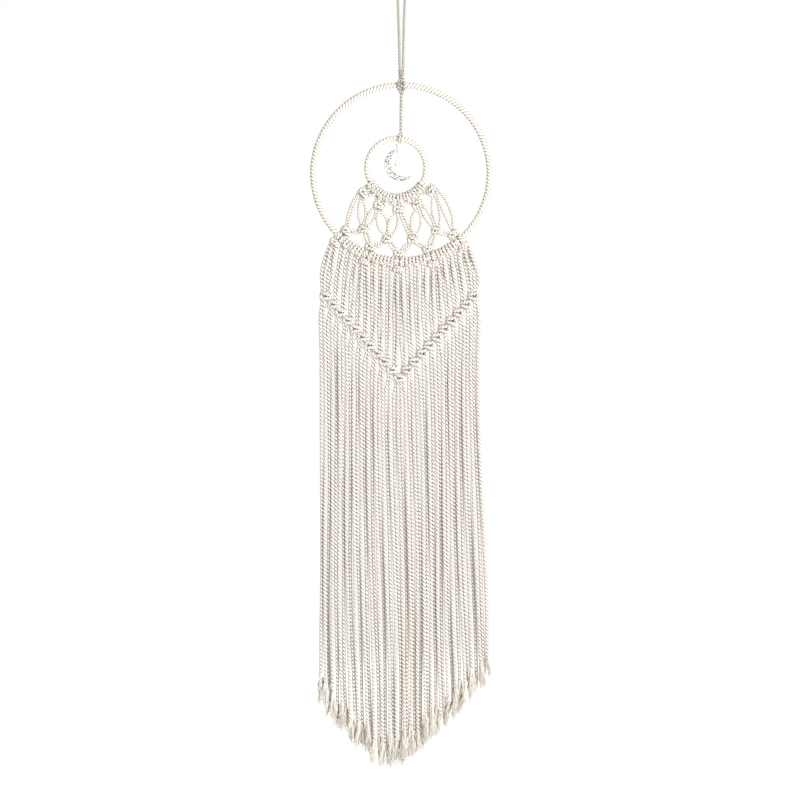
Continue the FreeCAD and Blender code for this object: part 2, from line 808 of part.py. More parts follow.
def make_bead(across, bail_above):
    """A clear drop turned about its own axis, and the eye pin it hangs on."""
    body = doc.addObject("PartDesign::Body", "BeadBody")
    sketch = body.newObject("Sketcher::SketchObject", "BeadProfile")
    sketch.AttachmentSupport = [(origin_plane(body, "XZ_Plane"), "")]
    sketch.MapMode = "FlatFace"
    belly = size("bead_radius")
    neck = size("bead_neck_radius")
    centre_rise = belly - size("bead_height")
    slope = math.asin((belly - neck) / (0.0 - centre_rise))
    shoulder = FreeCAD.Vector(belly * math.cos(slope), centre_rise + belly * math.sin(slope), 0)
    top = FreeCAD.Vector(neck, 0, 0)
    foot = FreeCAD.Vector(0, -size("bead_height"), 0)
    middle = FreeCAD.Vector(0, centre_rise, 0)
    circle = Part.Circle(middle, FreeCAD.Vector(0, 0, 1), belly)
    sketch.addGeometry(
        [
            Part.ArcOfCircle(circle, -math.pi / 2, slope),
            Part.LineSegment(shoulder, top),
            Part.LineSegment(top, FreeCAD.Vector()),
            Part.LineSegment(FreeCAD.Vector(), foot),
        ],
        False,
    )
    for ends in ((0, 2, 1, 1), (1, 2, 2, 1), (2, 2, 3, 1), (3, 2, 0, 1)):
        sketch.addConstraint(Sketcher.Constraint("Coincident", *ends))
    sketch.addConstraint(Sketcher.Constraint("Coincident", 2, 2, -1, 1))
    sketch.addConstraint(Sketcher.Constraint("Horizontal", 2))
    sketch.addConstraint(Sketcher.Constraint("PointOnObject", 0, 3, -2))
    limit = sketch.addConstraint(Sketcher.Constraint("Radius", 0, belly))
    sketch.renameConstraint(limit, "Belly")
    sketch.setExpression("Constraints.Belly", "Sizes.bead_radius")
    doc.recompute()
    turned = body.newObject("PartDesign::Revolution", "BeadTurned")
    turned.Profile = sketch
    turned.ReferenceAxis = (sketch, ["V_Axis"])
    turned.Angle = 360.0
    doc.recompute()
    body.Tip = turned
    body.Placement = FreeCAD.Placement(point(across, size("bead_top_rise")), FreeCAD.Rotation())
    keep(body, "glass_bead")

    seat = bail_above - size("bail_radius") + size("ring_wire_radius")
    ring_rise = seat + size("pin_wire_radius") + size("link_gap") - size("pin_ring_radius")
    eye = ring("PinEye", "pin_ring_radius", "pin_wire_radius", point(across, ring_rise), True)
    stem = cylinder(
        "PinStem",
        point(across, size("bead_top_rise") + size("link_gap") / 2),
        point(across, ring_rise - size("pin_ring_radius")),
        "Sizes.pin_stem_radius",
    )
    keep(fuse("BeadPin", [eye, stem]), "bead_pin")


def origin_plane(body, role):
    """One of a body's own origin planes, found by its role."""
    for feature in body.Origin.OriginFeatures:
        if feature.Role == role:
            return feature
    raise RuntimeError(f"{body.Name} has no {role}")


# ---------------------------------------------------------------- build, check and write


def check_document():
    """Stops if any feature failed, or if a sub-part has no sound shape."""
    for obj in doc.Objects:
        if "Invalid" in obj.State or "Error" in obj.State:
            raise RuntimeError(f"{obj.Name} failed: {obj.State}")
    for part in parts:
        if part.Shape.isNull() or not part.Shape.isValid():
            raise RuntimeError(f"{part.Label} has no sound shape")
        if not part.Shape.Solids:
            raise RuntimeError(f"{part.Label} holds no solid")


def write_parts():
    os.makedirs("parts", exist_ok=True)
    for part in parts:
        part.Shape.exportStep(f"parts/{part.Label}.step")


make_hanging_loop()
make_hoops()
make_hitch_and_tie()
make_drop_cord()
make_lark_heads()
make_hoop_knots()
make_net()
make_curtain()
make_v_knots()
make_fringe()
make_charm()
doc.recompute()
check_document()
write_parts()
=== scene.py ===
import math
import random

import bpy
import numpy as np
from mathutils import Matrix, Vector


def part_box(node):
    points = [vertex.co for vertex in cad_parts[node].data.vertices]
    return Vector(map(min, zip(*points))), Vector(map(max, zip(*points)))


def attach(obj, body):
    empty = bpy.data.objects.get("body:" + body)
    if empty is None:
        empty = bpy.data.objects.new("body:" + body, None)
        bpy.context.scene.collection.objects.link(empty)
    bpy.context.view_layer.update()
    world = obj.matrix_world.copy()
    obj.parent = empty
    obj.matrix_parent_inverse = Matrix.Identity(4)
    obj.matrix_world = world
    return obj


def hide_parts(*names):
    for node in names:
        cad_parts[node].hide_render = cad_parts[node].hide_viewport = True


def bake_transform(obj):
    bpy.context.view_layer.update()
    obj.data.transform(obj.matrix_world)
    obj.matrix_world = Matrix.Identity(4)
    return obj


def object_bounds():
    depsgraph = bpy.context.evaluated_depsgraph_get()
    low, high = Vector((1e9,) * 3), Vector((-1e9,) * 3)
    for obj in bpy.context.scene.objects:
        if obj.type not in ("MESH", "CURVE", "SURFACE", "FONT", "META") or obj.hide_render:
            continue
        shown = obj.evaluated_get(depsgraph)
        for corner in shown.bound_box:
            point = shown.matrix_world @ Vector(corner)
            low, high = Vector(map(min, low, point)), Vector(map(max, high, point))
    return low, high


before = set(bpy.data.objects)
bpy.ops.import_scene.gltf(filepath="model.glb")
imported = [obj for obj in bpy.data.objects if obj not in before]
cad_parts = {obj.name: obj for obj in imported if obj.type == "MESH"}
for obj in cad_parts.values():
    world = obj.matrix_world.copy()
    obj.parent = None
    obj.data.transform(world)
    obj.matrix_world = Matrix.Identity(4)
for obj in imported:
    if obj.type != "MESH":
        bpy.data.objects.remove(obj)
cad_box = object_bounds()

# Looks of a macrame dream catcher.  Paths are worked out in millimetres in the CAD frame, from the places
# of the CAD solids, and become metres when a mesh is made.  -Y faces the viewer and +Z is up.

MM = 0.001
TAU = 2.0 * math.pi
FOOT = 270.0  # the angle of a hoop's lowest point

# radius of the cord where it hangs, in knots and in the net
CORD = 2.2
KNOT_CORD = 1.95
NET_CORD = 2.0
# length of a full turn of the plies in hanging cord, in knots, in the hanger's thin cord and in coils
LAY = 13.2
KNOT_LAY = 9.6
THIN_LAY = 11.0
COIL_LAY = 6.0
# a cord's mesh: the space between its rings and the corners of a ring
RING_STEP = 0.66
SIDES = 18
PLIES = 3
# how far a ply's centre stands out from the cord's, as a share of the cord's radius
PLY_OFFSET = 0.5
SOFT_PLY_OFFSET = 0.2

dice = random.Random(7)
noise = np.random.default_rng(7)


# ---- places, from the CAD


def solids(node):
    """(low corner, high corner) in mm of each separate solid of a CAD node, from left to right."""
    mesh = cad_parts[node].data
    points = np.empty(len(mesh.vertices) * 3)
    mesh.vertices.foreach_get("co", points)
    points = points.reshape(-1, 3) / MM
    ends = np.empty(len(mesh.edges) * 2, int)
    mesh.edges.foreach_get("vertices", ends)
    places, same = np.unique(points.round(3), axis=0, return_inverse=True)
    ends = same.reshape(-1)[ends].reshape(-1, 2)
    label = np.arange(len(places))
    changed = True
    while changed:
        before = label.copy()
        low = np.minimum(label[ends[:, 0]], label[ends[:, 1]])
        np.minimum.at(label, ends[:, 0], low)
        np.minimum.at(label, ends[:, 1], low)
        label = label[label]
        changed = not np.array_equal(before, label)
    found = [(places[label == one].min(0), places[label == one].max(0)) for one in np.unique(label)]
    return sorted(found, key=lambda pair: pair[0][0] + pair[1][0])


def whole(node):
    """(low corner, high corner) in mm of a CAD node."""
    low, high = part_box(node)
    return np.array(low) / MM, np.array(high) / MM


def size_of(node):
    """A CAD node's size in mm along X, Y and Z."""
    low, high = whole(node)
    return high - low


def middle(pair):
    """(x, z) at the middle of a box."""
    return (pair[0][0] + pair[1][0]) / 2, (pair[0][2] + pair[1][2]) / 2


class Ring:
    """A hoop's wire: its centre in the XZ plane, its radius and its wire's radius."""

    def __init__(self, node):
        low, high = whole(node)
        self.wire = (high[1] - low[1]) / 2
        self.x, self.z = middle((low, high))
        self.radius = (high[0] - low[0]) / 2 - self.wire

    def at(self, angle, out=0.0, y=0.0, along=0.0):
        """A point by its angle in degrees, its distance outside the wire's centre, and a shift along it."""
        turn = math.radians(angle) + along / self.radius
        reach = self.radius + out
        return [self.x + reach * math.cos(turn), y, self.z + reach * math.sin(turn)]

    def angle_of(self, place):
        return math.degrees(math.atan2(place[1] - self.z, place[0] - self.x)) % 360.0


OUTER = Ring("outer_hoop_wire")
INNER = Ring("inner_hoop_wire")
OUTER_TOP = OUTER.z + OUTER.radius
HOOP_KNOTS = ["far_left", "left", "centre", "right", "far_right"]
HEAD_GROUPS = ["outer_left", "inner_left", "inner_right", "outer_right"]
CURTAIN_GROUPS = [
    "far_left", "outer_left", "left", "inner_left", "centre",
    "inner_right", "right", "outer_right", "far_right",
]
# fringe panels: which arm of the V they hang from, and their first and last V knot from the top
PANELS = {
    "left_outer": (-1, 1, 3),
    "left_middle": (-1, 4, 6),
    "left_inner": (-1, 7, 10),
    "centre": (0, 11, 11),
    "right_inner": (1, 7, 10),
    "right_middle": (1, 4, 6),
    "right_outer": (1, 1, 3),
}
# cords to a square knot, strands to a lark's head, lark's heads to a group
PER_KNOT = 4
PER_HEAD = 2
PER_GROUP = 3


def find_fringe_cords():
    """(x, top, tip, panel) of each cord of the fringe, from left to right."""
    found = []
    for panel in PANELS:
        for low, high in solids("fringe_" + panel):
            found.append(((low[0] + high[0]) / 2, high[2], low[2], panel))
    return sorted(found)


fringe_cords = find_fringe_cords()
CORDS = len(fringe_cords)
HALF = CORDS // 2

v_left = [middle(pair) for pair in solids("v_knots_left")]
v_right = [middle(pair) for pair in solids("v_knots_right")][::-1]
v_centre = middle(whole("v_knot_centre"))
KNOT_HALF_HEIGHT = size_of("v_knot_centre")[2] / 2


# ---- curves and cord meshes


def circling(angles):
    """The cosine and sine of each of some angles in degrees."""
    return [(math.cos(math.radians(angle)), math.sin(math.radians(angle))) for angle in angles]


def unit(vectors):
    """Each row of an array of vectors, brought to length one."""
    return vectors / np.linalg.norm(vectors, axis=1)[:, None]


def smooth(points, step):
    """Evenly spaced points on a curve through (x, y, z, radius) points, with their spans and lengths."""
    control = np.array(points, float)
    gaps = np.linalg.norm(np.diff(control[:, :3], axis=0), axis=1)
    knot = np.concatenate([[0.0], np.cumsum(np.sqrt(gaps))])
    width = np.diff(knot)[:, None]
    chord = np.diff(control, axis=0) / width
    slope = np.vstack([chord[:1], chord[:1], chord[1:]])[: len(control)]
    slope[-1] = chord[-1]
    slope[1:-1] = (chord[:-1] * width[1:] + chord[1:] * width[:-1]) / (width[:-1] + width[1:])
    rows, spans = [], []
    for i, gap in enumerate(gaps):
        count = max(5, int(1.6 * gap / step))
        t = (np.arange(count) / count)[:, None]
        rows.append(
            (2 * t**3 - 3 * t**2 + 1) * control[i]
            + (t**3 - 2 * t**2 + t) * width[i] * slope[i]
            + (3 * t**2 - 2 * t**3) * control[i + 1]
            + (t**3 - t**2) * width[i] * slope[i + 1]
        )
        spans.append(np.full(count, i))
    rows.append(control[-1:])
    spans.append(np.array([len(gaps) - 1]))
    dense, span = np.vstack(rows), np.concatenate(spans)
    length = np.concatenate([[0.0], np.cumsum(np.linalg.norm(np.diff(dense[:, :3], axis=0), axis=1))])
    total = max(2, int(round(length[-1] / step)) + 1)
    wanted = np.linspace(0.0, length[-1], total)
    even = np.column_stack([np.interp(wanted, length, dense[:, k]) for k in range(4)])
    return even, span[np.minimum(np.searchsorted(length, wanted), len(span) - 1)], wanted


def carried_frames(points):
    """A normal and a binormal along a curve, carried forward with the least turning."""
    tangent = unit(np.gradient(points, axis=0))
    first = np.cross(tangent[0], [0.3, 1.0, 0.1])
    x, y, z = first / np.linalg.norm(first)
    normals = []
    for a, b, c in tangent.tolist():
        lean = x * a + y * b + z * c
        x, y, z = x - lean * a, y - lean * b, z - lean * c
        size = math.sqrt(x * x + y * y + z * z)
        x, y, z = x / size, y / size, z / size
        normals.append((x, y, z))
    normal = np.array(normals)
    return normal, np.cross(tangent, normal)


def ply_profile(sides, offset):
    """The outline of round plies laid together: the angle and the radius of each of its corners."""
    turn = np.arange(sides) * TAU / sides
    third = TAU / PLIES
    inside = (turn + third / 2) % third - third / 2
    ply = 1.0 - offset
    return turn, offset * np.cos(inside) + np.sqrt(ply**2 - (offset * np.sin(inside)) ** 2)


class Cord:
    """A length of twisted cord as rings of corners, which pieces then take stretches of."""

    def __init__(self, points, step=RING_STEP, sides=SIDES, lay=LAY, press=None, offset=PLY_OFFSET):
        even, self.span, self.length = smooth(points, step)
        centre, radius = even[:, :3], even[:, 3]
        normal, across = carried_frames(centre)
        turn, outline = ply_profile(sides, offset)
        pace = np.broadcast_to(lay, len(points) - 1)[self.span]
        twist = TAU * np.cumsum(np.gradient(self.length) / pace)
        angle = turn[None, :] - twist[:, None] + dice.uniform(0.0, TAU)
        reach = outline[None, :] * radius[:, None]
        skin = (
            normal[:, None, :] * (reach * np.cos(angle))[:, :, None]
            + across[:, None, :] * (reach * np.sin(angle))[:, :, None]
        )
        self.edge = None
        if press is not None:
            direction, flat = press(centre)
            depth = np.einsum("nkc,nc->nk", skin, direction)[:, :, None] * direction[:, None, :]
            skin = depth * flat + (skin - depth)
            # edge is each corner's share out towards the neighbouring turns, which drives painted shade
            # where turns touch
            side = unit(np.cross(direction, np.gradient(centre, axis=0)))
            self.edge = np.abs(np.einsum("nkc,nc->nk", skin, side)) / radius[:, None]
        self.rings = centre[:, None, :] + skin
        self.seed = dice.random()

    def stretch(self, first, last):
        """Rings from span first up to and including span last, with the next ring to close the join."""
        inside = np.nonzero((self.span >= first) & (self.span <= last))[0]
        part = slice(inside[0], min(inside[-1] + 2, len(self.rings)))
        edge = None if self.edge is None else self.edge[part]
        return self.rings[part], self.length[part], self.seed, edge


stretches = {}


def give(name, stretch):
    """Adds a stretch of cord to a piece, which goes by its CAD node's name until it is built."""
    stretches.setdefault(name, []).append(stretch)


def give_whole(name, points, **looks):
    """Makes a cord that belongs to one piece from end to end."""
    give(name, Cord(points, **looks).stretch(0, len(points)))


def settle(piece, body, node):
    """Says which body a piece rides on, which CAD node it replaces."""
    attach(piece, body)
    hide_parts(node)


def add_object(name, data):
    added = bpy.data.objects.new(name, data)
    bpy.context.scene.collection.objects.link(added)
    return added


def mesh_piece(name, vertices, corners, sizes, material, marks, unwrap):
    """A mesh object from vertices in mm, the faces' corners in one row, and each face's number of them."""
    starts = np.concatenate([[0], np.cumsum(sizes)[:-1]])
    mesh = bpy.data.meshes.new(name)
    mesh.vertices.add(len(vertices))
    mesh.vertices.foreach_set("co", (vertices * MM).astype(np.float32).ravel())
    mesh.loops.add(len(corners))
    mesh.loops.foreach_set("vertex_index", corners.astype(np.int32))
    mesh.polygons.add(len(starts))
    mesh.polygons.foreach_set("loop_start", starts.astype(np.int32))
    mesh.update(calc_edges=True)
    mesh.polygons.foreach_set("use_smooth", np.ones(len(starts), bool))
    layer = mesh.attributes.new("yarn", "FLOAT_VECTOR", "CORNER")
    layer.data.foreach_set("vector", marks.astype(np.float32).ravel())
    layer = mesh.uv_layers.new(name="OFBake")
    layer.data.foreach_set("uv", unwrap.astype(np.float32).ravel())
    mesh.materials.append(material)
    return add_object(name, mesh)


def ring_faces(rings, sides):
    """The corners of the four-sided faces between rings that follow each other."""
    ring = np.arange(rings - 1)[:, None] * sides
    side = np.arange(sides)[None, :]
    after = (side + 1) % sides
    return np.stack([ring + side, ring + after, ring + sides + after, ring + sides + side], -1)


def corner_pairs(left, right, bottom, top):
    """(across, along) at each of the four corners of a grid of faces."""
    left, right, bottom, top = np.broadcast_arrays(left, right, bottom, top)
    return np.stack([np.stack([left, right, right, left], -1), np.stack([bottom, bottom, top, top], -1)], -1)


def cord_piece(name, material):
    """Builds a piece from its stretches: faces between rings, and a cap at each end.

    The yarn marks hold the place across a ply, the length along the cord and the cord's own seed.
    The unwrapped faces stand in as many columns as make the sheet about square.
    """
    sides = stretches[name][0][0].shape[1]
    side = np.arange(sides)[None, :]
    per_ply = sides // PLIES
    across = (side % per_ply) / per_ply
    row_count = sum(len(stretch[0]) for stretch in stretches[name])
    columns = max(1, int(math.sqrt(row_count / sides)))
    column_rows = math.ceil(row_count / columns) + 1
    sheet_width, sheet_height = columns * (sides + 1), column_rows + 1
    vertices, corners, sizes, marks, unwrap = [], [], [], [], []
    rows_before = 0
    for rings, length, seed, edge in stretches[name]:
        base = rows_before * sides
        faces = ring_faces(len(rings), sides)
        corners.append(base + faces.ravel())
        sizes.append(np.full(len(faces) * sides, 4))
        mark = corner_pairs(across, across + 1.0 / per_ply, length[:-1, None], length[1:, None])
        # for a pressed cord the first mark holds its edge share instead, for painted shade where turns touch
        if edge is not None:
            turned = np.roll(edge, -1, 1)
            mark[..., 0] = 0.5 + 0.5 * np.stack([edge[:-1], turned[:-1], turned[1:], edge[1:]], -1)
        mark = np.concatenate([mark, np.full(mark.shape[:-1] + (1,), seed)], -1)
        marks.append(mark.reshape(-1, 3))
        row = rows_before + np.arange(len(faces))[:, None]
        left = row // column_rows * (sides + 1) + side
        bottom = row % column_rows
        sheet = corner_pairs(
            left / sheet_width, (left + 1) / sheet_width, bottom / sheet_height, (bottom + 1) / sheet_height
        )
        unwrap.append(sheet.reshape(-1, 2))
        ends = [(np.arange(sides)[::-1], length[0]), (len(faces) * sides + np.arange(sides), length[-1])]
        for cap, at in ends:
            corners.append(base + cap)
            sizes.append([sides])
            marks.append(np.tile([0.5, at, seed], (sides, 1)))
            unwrap.append(np.tile(sheet[0, 0, 0], (sides, 1)))
        vertices.append(rings.reshape(-1, 3))
        rows_before += len(rings)
    parts = [np.concatenate(part) for part in (vertices, corners, sizes)]
    return mesh_piece(name + "_cord", *parts, material, np.vstack(marks), np.vstack(unwrap))


# ---- materials


class Nodes:
    """Short calls for wiring the nodes of a material or a world."""

    def __init__(self, owner):
        owner.use_nodes = True
        self.owner = owner
        self.tree = owner.node_tree

    def feed(self, socket, value):
        if isinstance(value, bpy.types.NodeSocket):
            self.tree.links.new(value, socket)
        else:
            socket.default_value = value

    def add(self, kind, inputs=None, **settings):
        node = self.tree.nodes.new(kind)
        for setting, value in settings.items():
            setattr(node, setting, value)
        for socket, value in (inputs or {}).items():
            self.feed(node.inputs[socket], value)
        return node

    def math(self, operation, *values):
        return self.add("ShaderNodeMath", dict(enumerate(values)), operation=operation).outputs[0]

    def mix(self, share, first, second):
        return self.add("ShaderNodeMix", {0: share, 6: first, 7: second}, data_type="RGBA").outputs[2]

    def ramp(self, value, low, high, start=0.0, end=1.0):
        inputs = dict(enumerate((value, low, high, start, end)))
        return self.add("ShaderNodeMapRange", inputs, clamp=True).outputs[0]


class Surface(Nodes):
    """A material's nodes, with noise and bump that stay with the object."""

    def __init__(self, name):
        super().__init__(bpy.data.materials.new(name))
        self.shader = self.tree.nodes["Principled BSDF"]
        self.place = self.add("ShaderNodeTexCoord").outputs["Object"]

    def noise(self, scale, detail):
        inputs = {"Vector": self.place, "Scale": scale, "Detail": detail}
        return self.add("ShaderNodeTexNoise", inputs).outputs["Fac"]

    def bump(self, strength, distance, height):
        inputs = {"Strength": strength, "Distance": distance, "Height": height}
        return self.add("ShaderNodeBump", inputs).outputs[0]

    def finish(self, inputs):
        """Feeds the shader and gives the material."""
        for name, value in inputs.items():
            self.feed(self.shader.inputs[name], value)
        return self.owner


def rgb(red, green, blue):
    """A colour given in display values, as linear light."""
    display = (red, green, blue)
    return tuple(((c + 0.055) / 1.055) ** 2.4 if c > 0.04 else c / 12.92 for c in display) + (1.0,)


WHITE = (1.0, 1.0, 1.0, 1.0)
# painted shade: the colour given to the creases where plies and pressed turns meet
PAINTED_GROOVE_SHADE = rgb(0.33, 0.275, 0.22)
TAN = rgb(0.87, 0.84, 0.795)


def cotton(name, crown, strength=1.0, other=TAN):
    """Natural cotton cord: pale crowns, painted shade of a given strength in the grooves between the plies,
    and fine yarns across each ply.
    """
    nodes = Surface(name)
    yarn = nodes.add("ShaderNodeAttribute", attribute_name="yarn").outputs["Vector"]
    across, along, seed = nodes.add("ShaderNodeSeparateXYZ", {"Vector": yarn}).outputs
    edge = nodes.math("ABSOLUTE", nodes.math("MULTIPLY_ADD", across, 2.0, -1.0))
    # hollow is painted shade, growing from a ply's middle out to where plies or pressed turns touch
    hollow = nodes.math("POWER", nodes.ramp(edge, 0.16, 1.0), 1.55)
    slant = nodes.math("MULTIPLY_ADD", along, 0.42, nodes.math("MULTIPLY", across, 4.0))
    wobble = nodes.math("MULTIPLY_ADD", nodes.noise(900.0, 2.0), 0.35, slant)
    line = nodes.math("SINE", nodes.math("MULTIPLY", wobble, TAU))
    fibre = nodes.noise(5200.0, 4.0)
    shade = nodes.math("MULTIPLY_ADD", nodes.noise(28.0, 2.0), 0.5, nodes.math("MULTIPLY", seed, 0.6))
    # dark is the painted groove shade at the given strength, with the yarn lines and fibre tone on it
    dark = nodes.math("MULTIPLY_ADD", line, -0.06, nodes.math("MULTIPLY", hollow, strength))
    dark = nodes.math("MULTIPLY_ADD", nodes.ramp(fibre, 0.35, 0.7), 0.10, dark)
    height = nodes.math("MULTIPLY_ADD", fibre, 0.55, nodes.math("MULTIPLY", line, 0.30))
    return nodes.finish({
        "Base Color": nodes.mix(nodes.ramp(dark, 0.0, 1.0), nodes.mix(shade, crown, other), PAINTED_GROOVE_SHADE),
        "Roughness": nodes.math("MULTIPLY_ADD", fibre, 0.2, 0.76),
        "Normal": nodes.bump(0.55, 0.00022, height),
        "Sheen Weight": 0.25,
        "Sheen Roughness": 0.5,
        "Specular IOR Level": 0.2,
    })


def silver(name):
    """Cast silver with a dark patina in its hollows and a fine grain."""
    nodes = Surface(name)
    coarse = nodes.noise(420.0, 4.0)
    worn = nodes.ramp(coarse, 0.38, 0.56)
    return nodes.finish({
        "Base Color": nodes.mix(worn, rgb(0.30, 0.29, 0.28), rgb(0.90, 0.891, 0.864)),
        "Roughness": nodes.math("MULTIPLY_ADD", coarse, -0.35, 0.52),
        "Metallic": 0.88,
        "Normal": nodes.bump(0.5, 0.0003, nodes.math("MULTIPLY_ADD", nodes.noise(2600.0, 3.0), 0.3, coarse)),
    })


def steel_wire(name):
    """Steel wire, dark brown to stand in for the shade in the gaps beside the knots and heads, with a fine
    grain and paler patches.
    """
    nodes = Surface(name)
    grain = nodes.noise(3000.0, 2.0)
    return nodes.finish({
        # painted shade: the wire's dark brown stands for the shade where it shows between the knots
        "Base Color": nodes.mix(nodes.noise(90.0, 3.0), rgb(0.20, 0.17, 0.13), rgb(0.36, 0.31, 0.25)),
        "Roughness": nodes.math("MULTIPLY_ADD", grain, 0.25, 0.28),
        "Metallic": 1.0,
        "Normal": nodes.bump(0.3, 0.0001, grain),
    })


def clear_glass(name):
    """Clear polished glass with a faint cool tint and tiny waves in its surface."""
    nodes = Surface(name)
    wave = nodes.noise(500.0, 2.0)
    return nodes.finish({
        "Base Color": nodes.mix(wave, rgb(0.97, 0.98, 0.99), rgb(0.90, 0.95, 0.97)),
        "Roughness": nodes.math("MULTIPLY", wave, 0.06),
        "Transmission Weight": 0.92,
        "IOR": 1.5,
        "Normal": nodes.bump(0.15, 0.0002, wave),
    })


cord_cotton = cotton("cotton_cord", rgb(0.935, 0.93, 0.922))
# the knots, lark's heads and net share a darker copy of the cord's cotton: painted shade for the shade
# within them
knot_cotton_shaded = cotton("cotton_knot", rgb(0.895, 0.885, 0.87), 0.82)
hanger_cotton = cotton("cotton_hanger", rgb(0.78, 0.765, 0.735), 1.0, rgb(0.72, 0.70, 0.66))
wrap_cotton = cotton("cotton_wrap", rgb(0.845, 0.83, 0.81), 0.9)
fray_cotton = cotton("cotton_fray", rgb(0.945, 0.938, 0.922), 0.15, rgb(0.80, 0.765, 0.705))
old_silver = silver("antique_silver")
wire_steel = steel_wire("hoop_wire")
glass = clear_glass("clear_glass")


# ---- knots


# A hug is the distance from a wire's centre to the centre of a cord that lies on it.
# One strand of a cord folded round a ring, from its front bar on: (shift along the ring as a share of the
# cord's radius, depth and distance out as shares of the hug).
HEAD_WAY = [
    (0.0, -1.10, 1.28), (0.72, -1.12, 1.20), (1.0, -1.02, 0.45), (1.0, -0.95, -0.25),
    (1.0, -0.50, -0.92), (1.0, 0.30, -1.02), (1.0, 0.96, -0.20), (0.92, 0.80, 0.80),
    (0.80, -0.28, 1.62), (0.84, -0.12, 2.30),
]


def lark_head(ring, angle, side, cord):
    """The way of one strand of a lark's head that sits at an angle on a ring."""
    hug = ring.wire + cord
    return [ring.at(angle, out * hug, y * hug, side * along * cord) + [cord] for along, y, out in HEAD_WAY]


def mirrored(upper, *crossing):
    """A way through a knot that goes down as it came: its upper half, any middle point, its lower half."""
    return [*upper, *crossing, *[(across, depth, -up) for across, depth, up in reversed(upper)]]


# Ways through a square knot, as (across, depth, up) shares of its half width, depth and height.
FRONT_CORD = mirrored(
    [
        (-0.80, 0.10, 1.05), (-0.95, -0.20, 0.78), (-0.62, -0.72, 0.58), (0.05, -1.05, 0.44),
        (0.62, -0.85, 0.34), (1.02, -0.15, 0.20),
    ],
    (1.06, 0.15, 0.0),
)
BACK_CORD = mirrored(
    [
        (0.86, -0.05, 1.05), (0.95, 0.35, 0.74), (0.60, 0.95, 0.55), (0.0, 1.05, 0.48),
        (-0.60, 0.85, 0.42), (-1.08, 0.05, 0.36), (-0.98, -0.85, 0.22),
    ],
    (-0.90, -1.22, 0.0),
)
RIGHT_FILLER = mirrored([(0.36, 0.0, 1.05), (0.33, 0.0, 0.4)])
LEFT_FILLER = [(-across, depth, up) for across, depth, up in RIGHT_FILLER]
KNOT_WAYS = [FRONT_CORD, LEFT_FILLER, RIGHT_FILLER, BACK_CORD]
KNOT_HALF_WIDTH = 5.3
KNOT_HALF_DEPTH = 3.35


def square_knot(place, slot, lean=0.0, mirror=1, height=1.0, width=1.0):
    """The way of one of a square knot's four cords, counted from the left, through the knot."""
    turn = math.radians(lean)
    points = []
    for x, y, z in KNOT_WAYS[slot if mirror > 0 else PER_KNOT - 1 - slot]:
        x *= mirror * KNOT_HALF_WIDTH * width
        z *= KNOT_HALF_HEIGHT * height
        across = x * math.cos(turn) - z * math.sin(turn)
        up = x * math.sin(turn) + z * math.cos(turn)
        points.append([place[0] + across, y * KNOT_HALF_DEPTH, place[1] + up, KNOT_CORD])
    return points


# ---- strands


class Route:
    """The control points of a strand, with the piece that each span belongs to."""

    def __init__(self):
        self.points = []
        self.owners = []

    def go(self, points, owner):
        for point in points:
            if self.points:
                self.owners.append(owner)
            self.points.append(list(point))

    def lay(self):
        """Makes the cord and gives its stretches to the pieces."""
        hangs = [owner.startswith(("curtain", "fringe")) for owner in self.owners]
        cord = Cord(self.points, lay=np.where(hangs, LAY, KNOT_LAY))
        first = 0
        for span in range(1, len(self.owners) + 1):
            if span == len(self.owners) or self.owners[span] != self.owners[first]:
                give(self.owners[first], cord.stretch(first, span - 1))
                first = span


def v_place(side, knot):
    if knot > len(v_left):
        return v_centre
    return v_left[knot - 1] if side < 0 else v_right[knot - 1]


def sway(number, drop):
    """(across, depth) in mm of a hanging cord's wander at a distance below its V knot."""
    ease = min(1.0, drop / 60.0) * (1.0 + drop / 450.0)
    across = 1.0 * math.sin(0.23 * number + drop / 95.0) + 0.32 * math.sin(1.9 * number - drop / 47.0)
    layer = (1 if number % 2 else -1) * (1.0 + 0.45 * math.sin(1.3 * number + drop / 90.0))
    depth = 0.85 * layer + 0.8 * math.sin(0.8 * number - drop / 60.0)
    return ease * across, ease * depth


# the whole fringe drifts to the right and spreads, by so much for each DRIFT_LENGTH below the V, and
# drifts no further after DRIFT_MOST such lengths
DRIFT = 5.2
DRIFT_LENGTH = 300.0
DRIFT_MOST = 1.6
SPREAD = 0.03


def fringe_point(number, height):
    """Where a fringe cord's centre is at a height: it hangs straight but drifts and spreads a little."""
    x, top, _, _ = fringe_cords[number - 1]
    share = max(0.0, (v_centre[1] - height) / DRIFT_LENGTH)
    across, depth = sway(number, top - height)
    away = (x - v_centre[0]) * (1.0 + SPREAD * share)
    return [v_centre[0] + away + DRIFT * min(share, DRIFT_MOST) + across, depth, height]


def cord_end(number):
    """(height of a cord's tip, length of its combed-out end): both vary from cord to cord."""
    tip = fringe_cords[number - 1][2]
    group = math.sin(1.15 * number) + 0.7 * math.sin(2.9 * number + 1.0)
    return tip + 3.0 * group, 34.0 + 6.0 * math.sin(2.1 * number + 0.6) + 3.5 * math.sin(0.7 * number)


# how far a cord has come down and across, as shares, at points between the hoop and the V
FAN = [(0.22, 0.34), (0.45, 0.66), (0.72, 0.92)]
FAN_FOOT = 5.0


def fan_out(start, number, top):
    """Points of a cord between the hoop and its first V knot, in front of or behind its neighbours."""
    x_end = fringe_cords[number - 1][0]
    layer = 1.1 * (1 if number % 2 else -1) + 0.5 * math.sin(3.1 * number)
    points = []
    for share, ease in FAN:
        wander = 0.45 * math.sin(2.2 * number + 7.0 * share)
        x = start[0] + (x_end - start[0]) * ease + wander
        z = start[2] + (top + FAN_FOOT - start[2]) * share
        points.append([x, layer * (1.0 - 0.75 * share), z, CORD])
    return points


# how much higher a V knot is than its CAD solid
V_PLUMP = 1.32


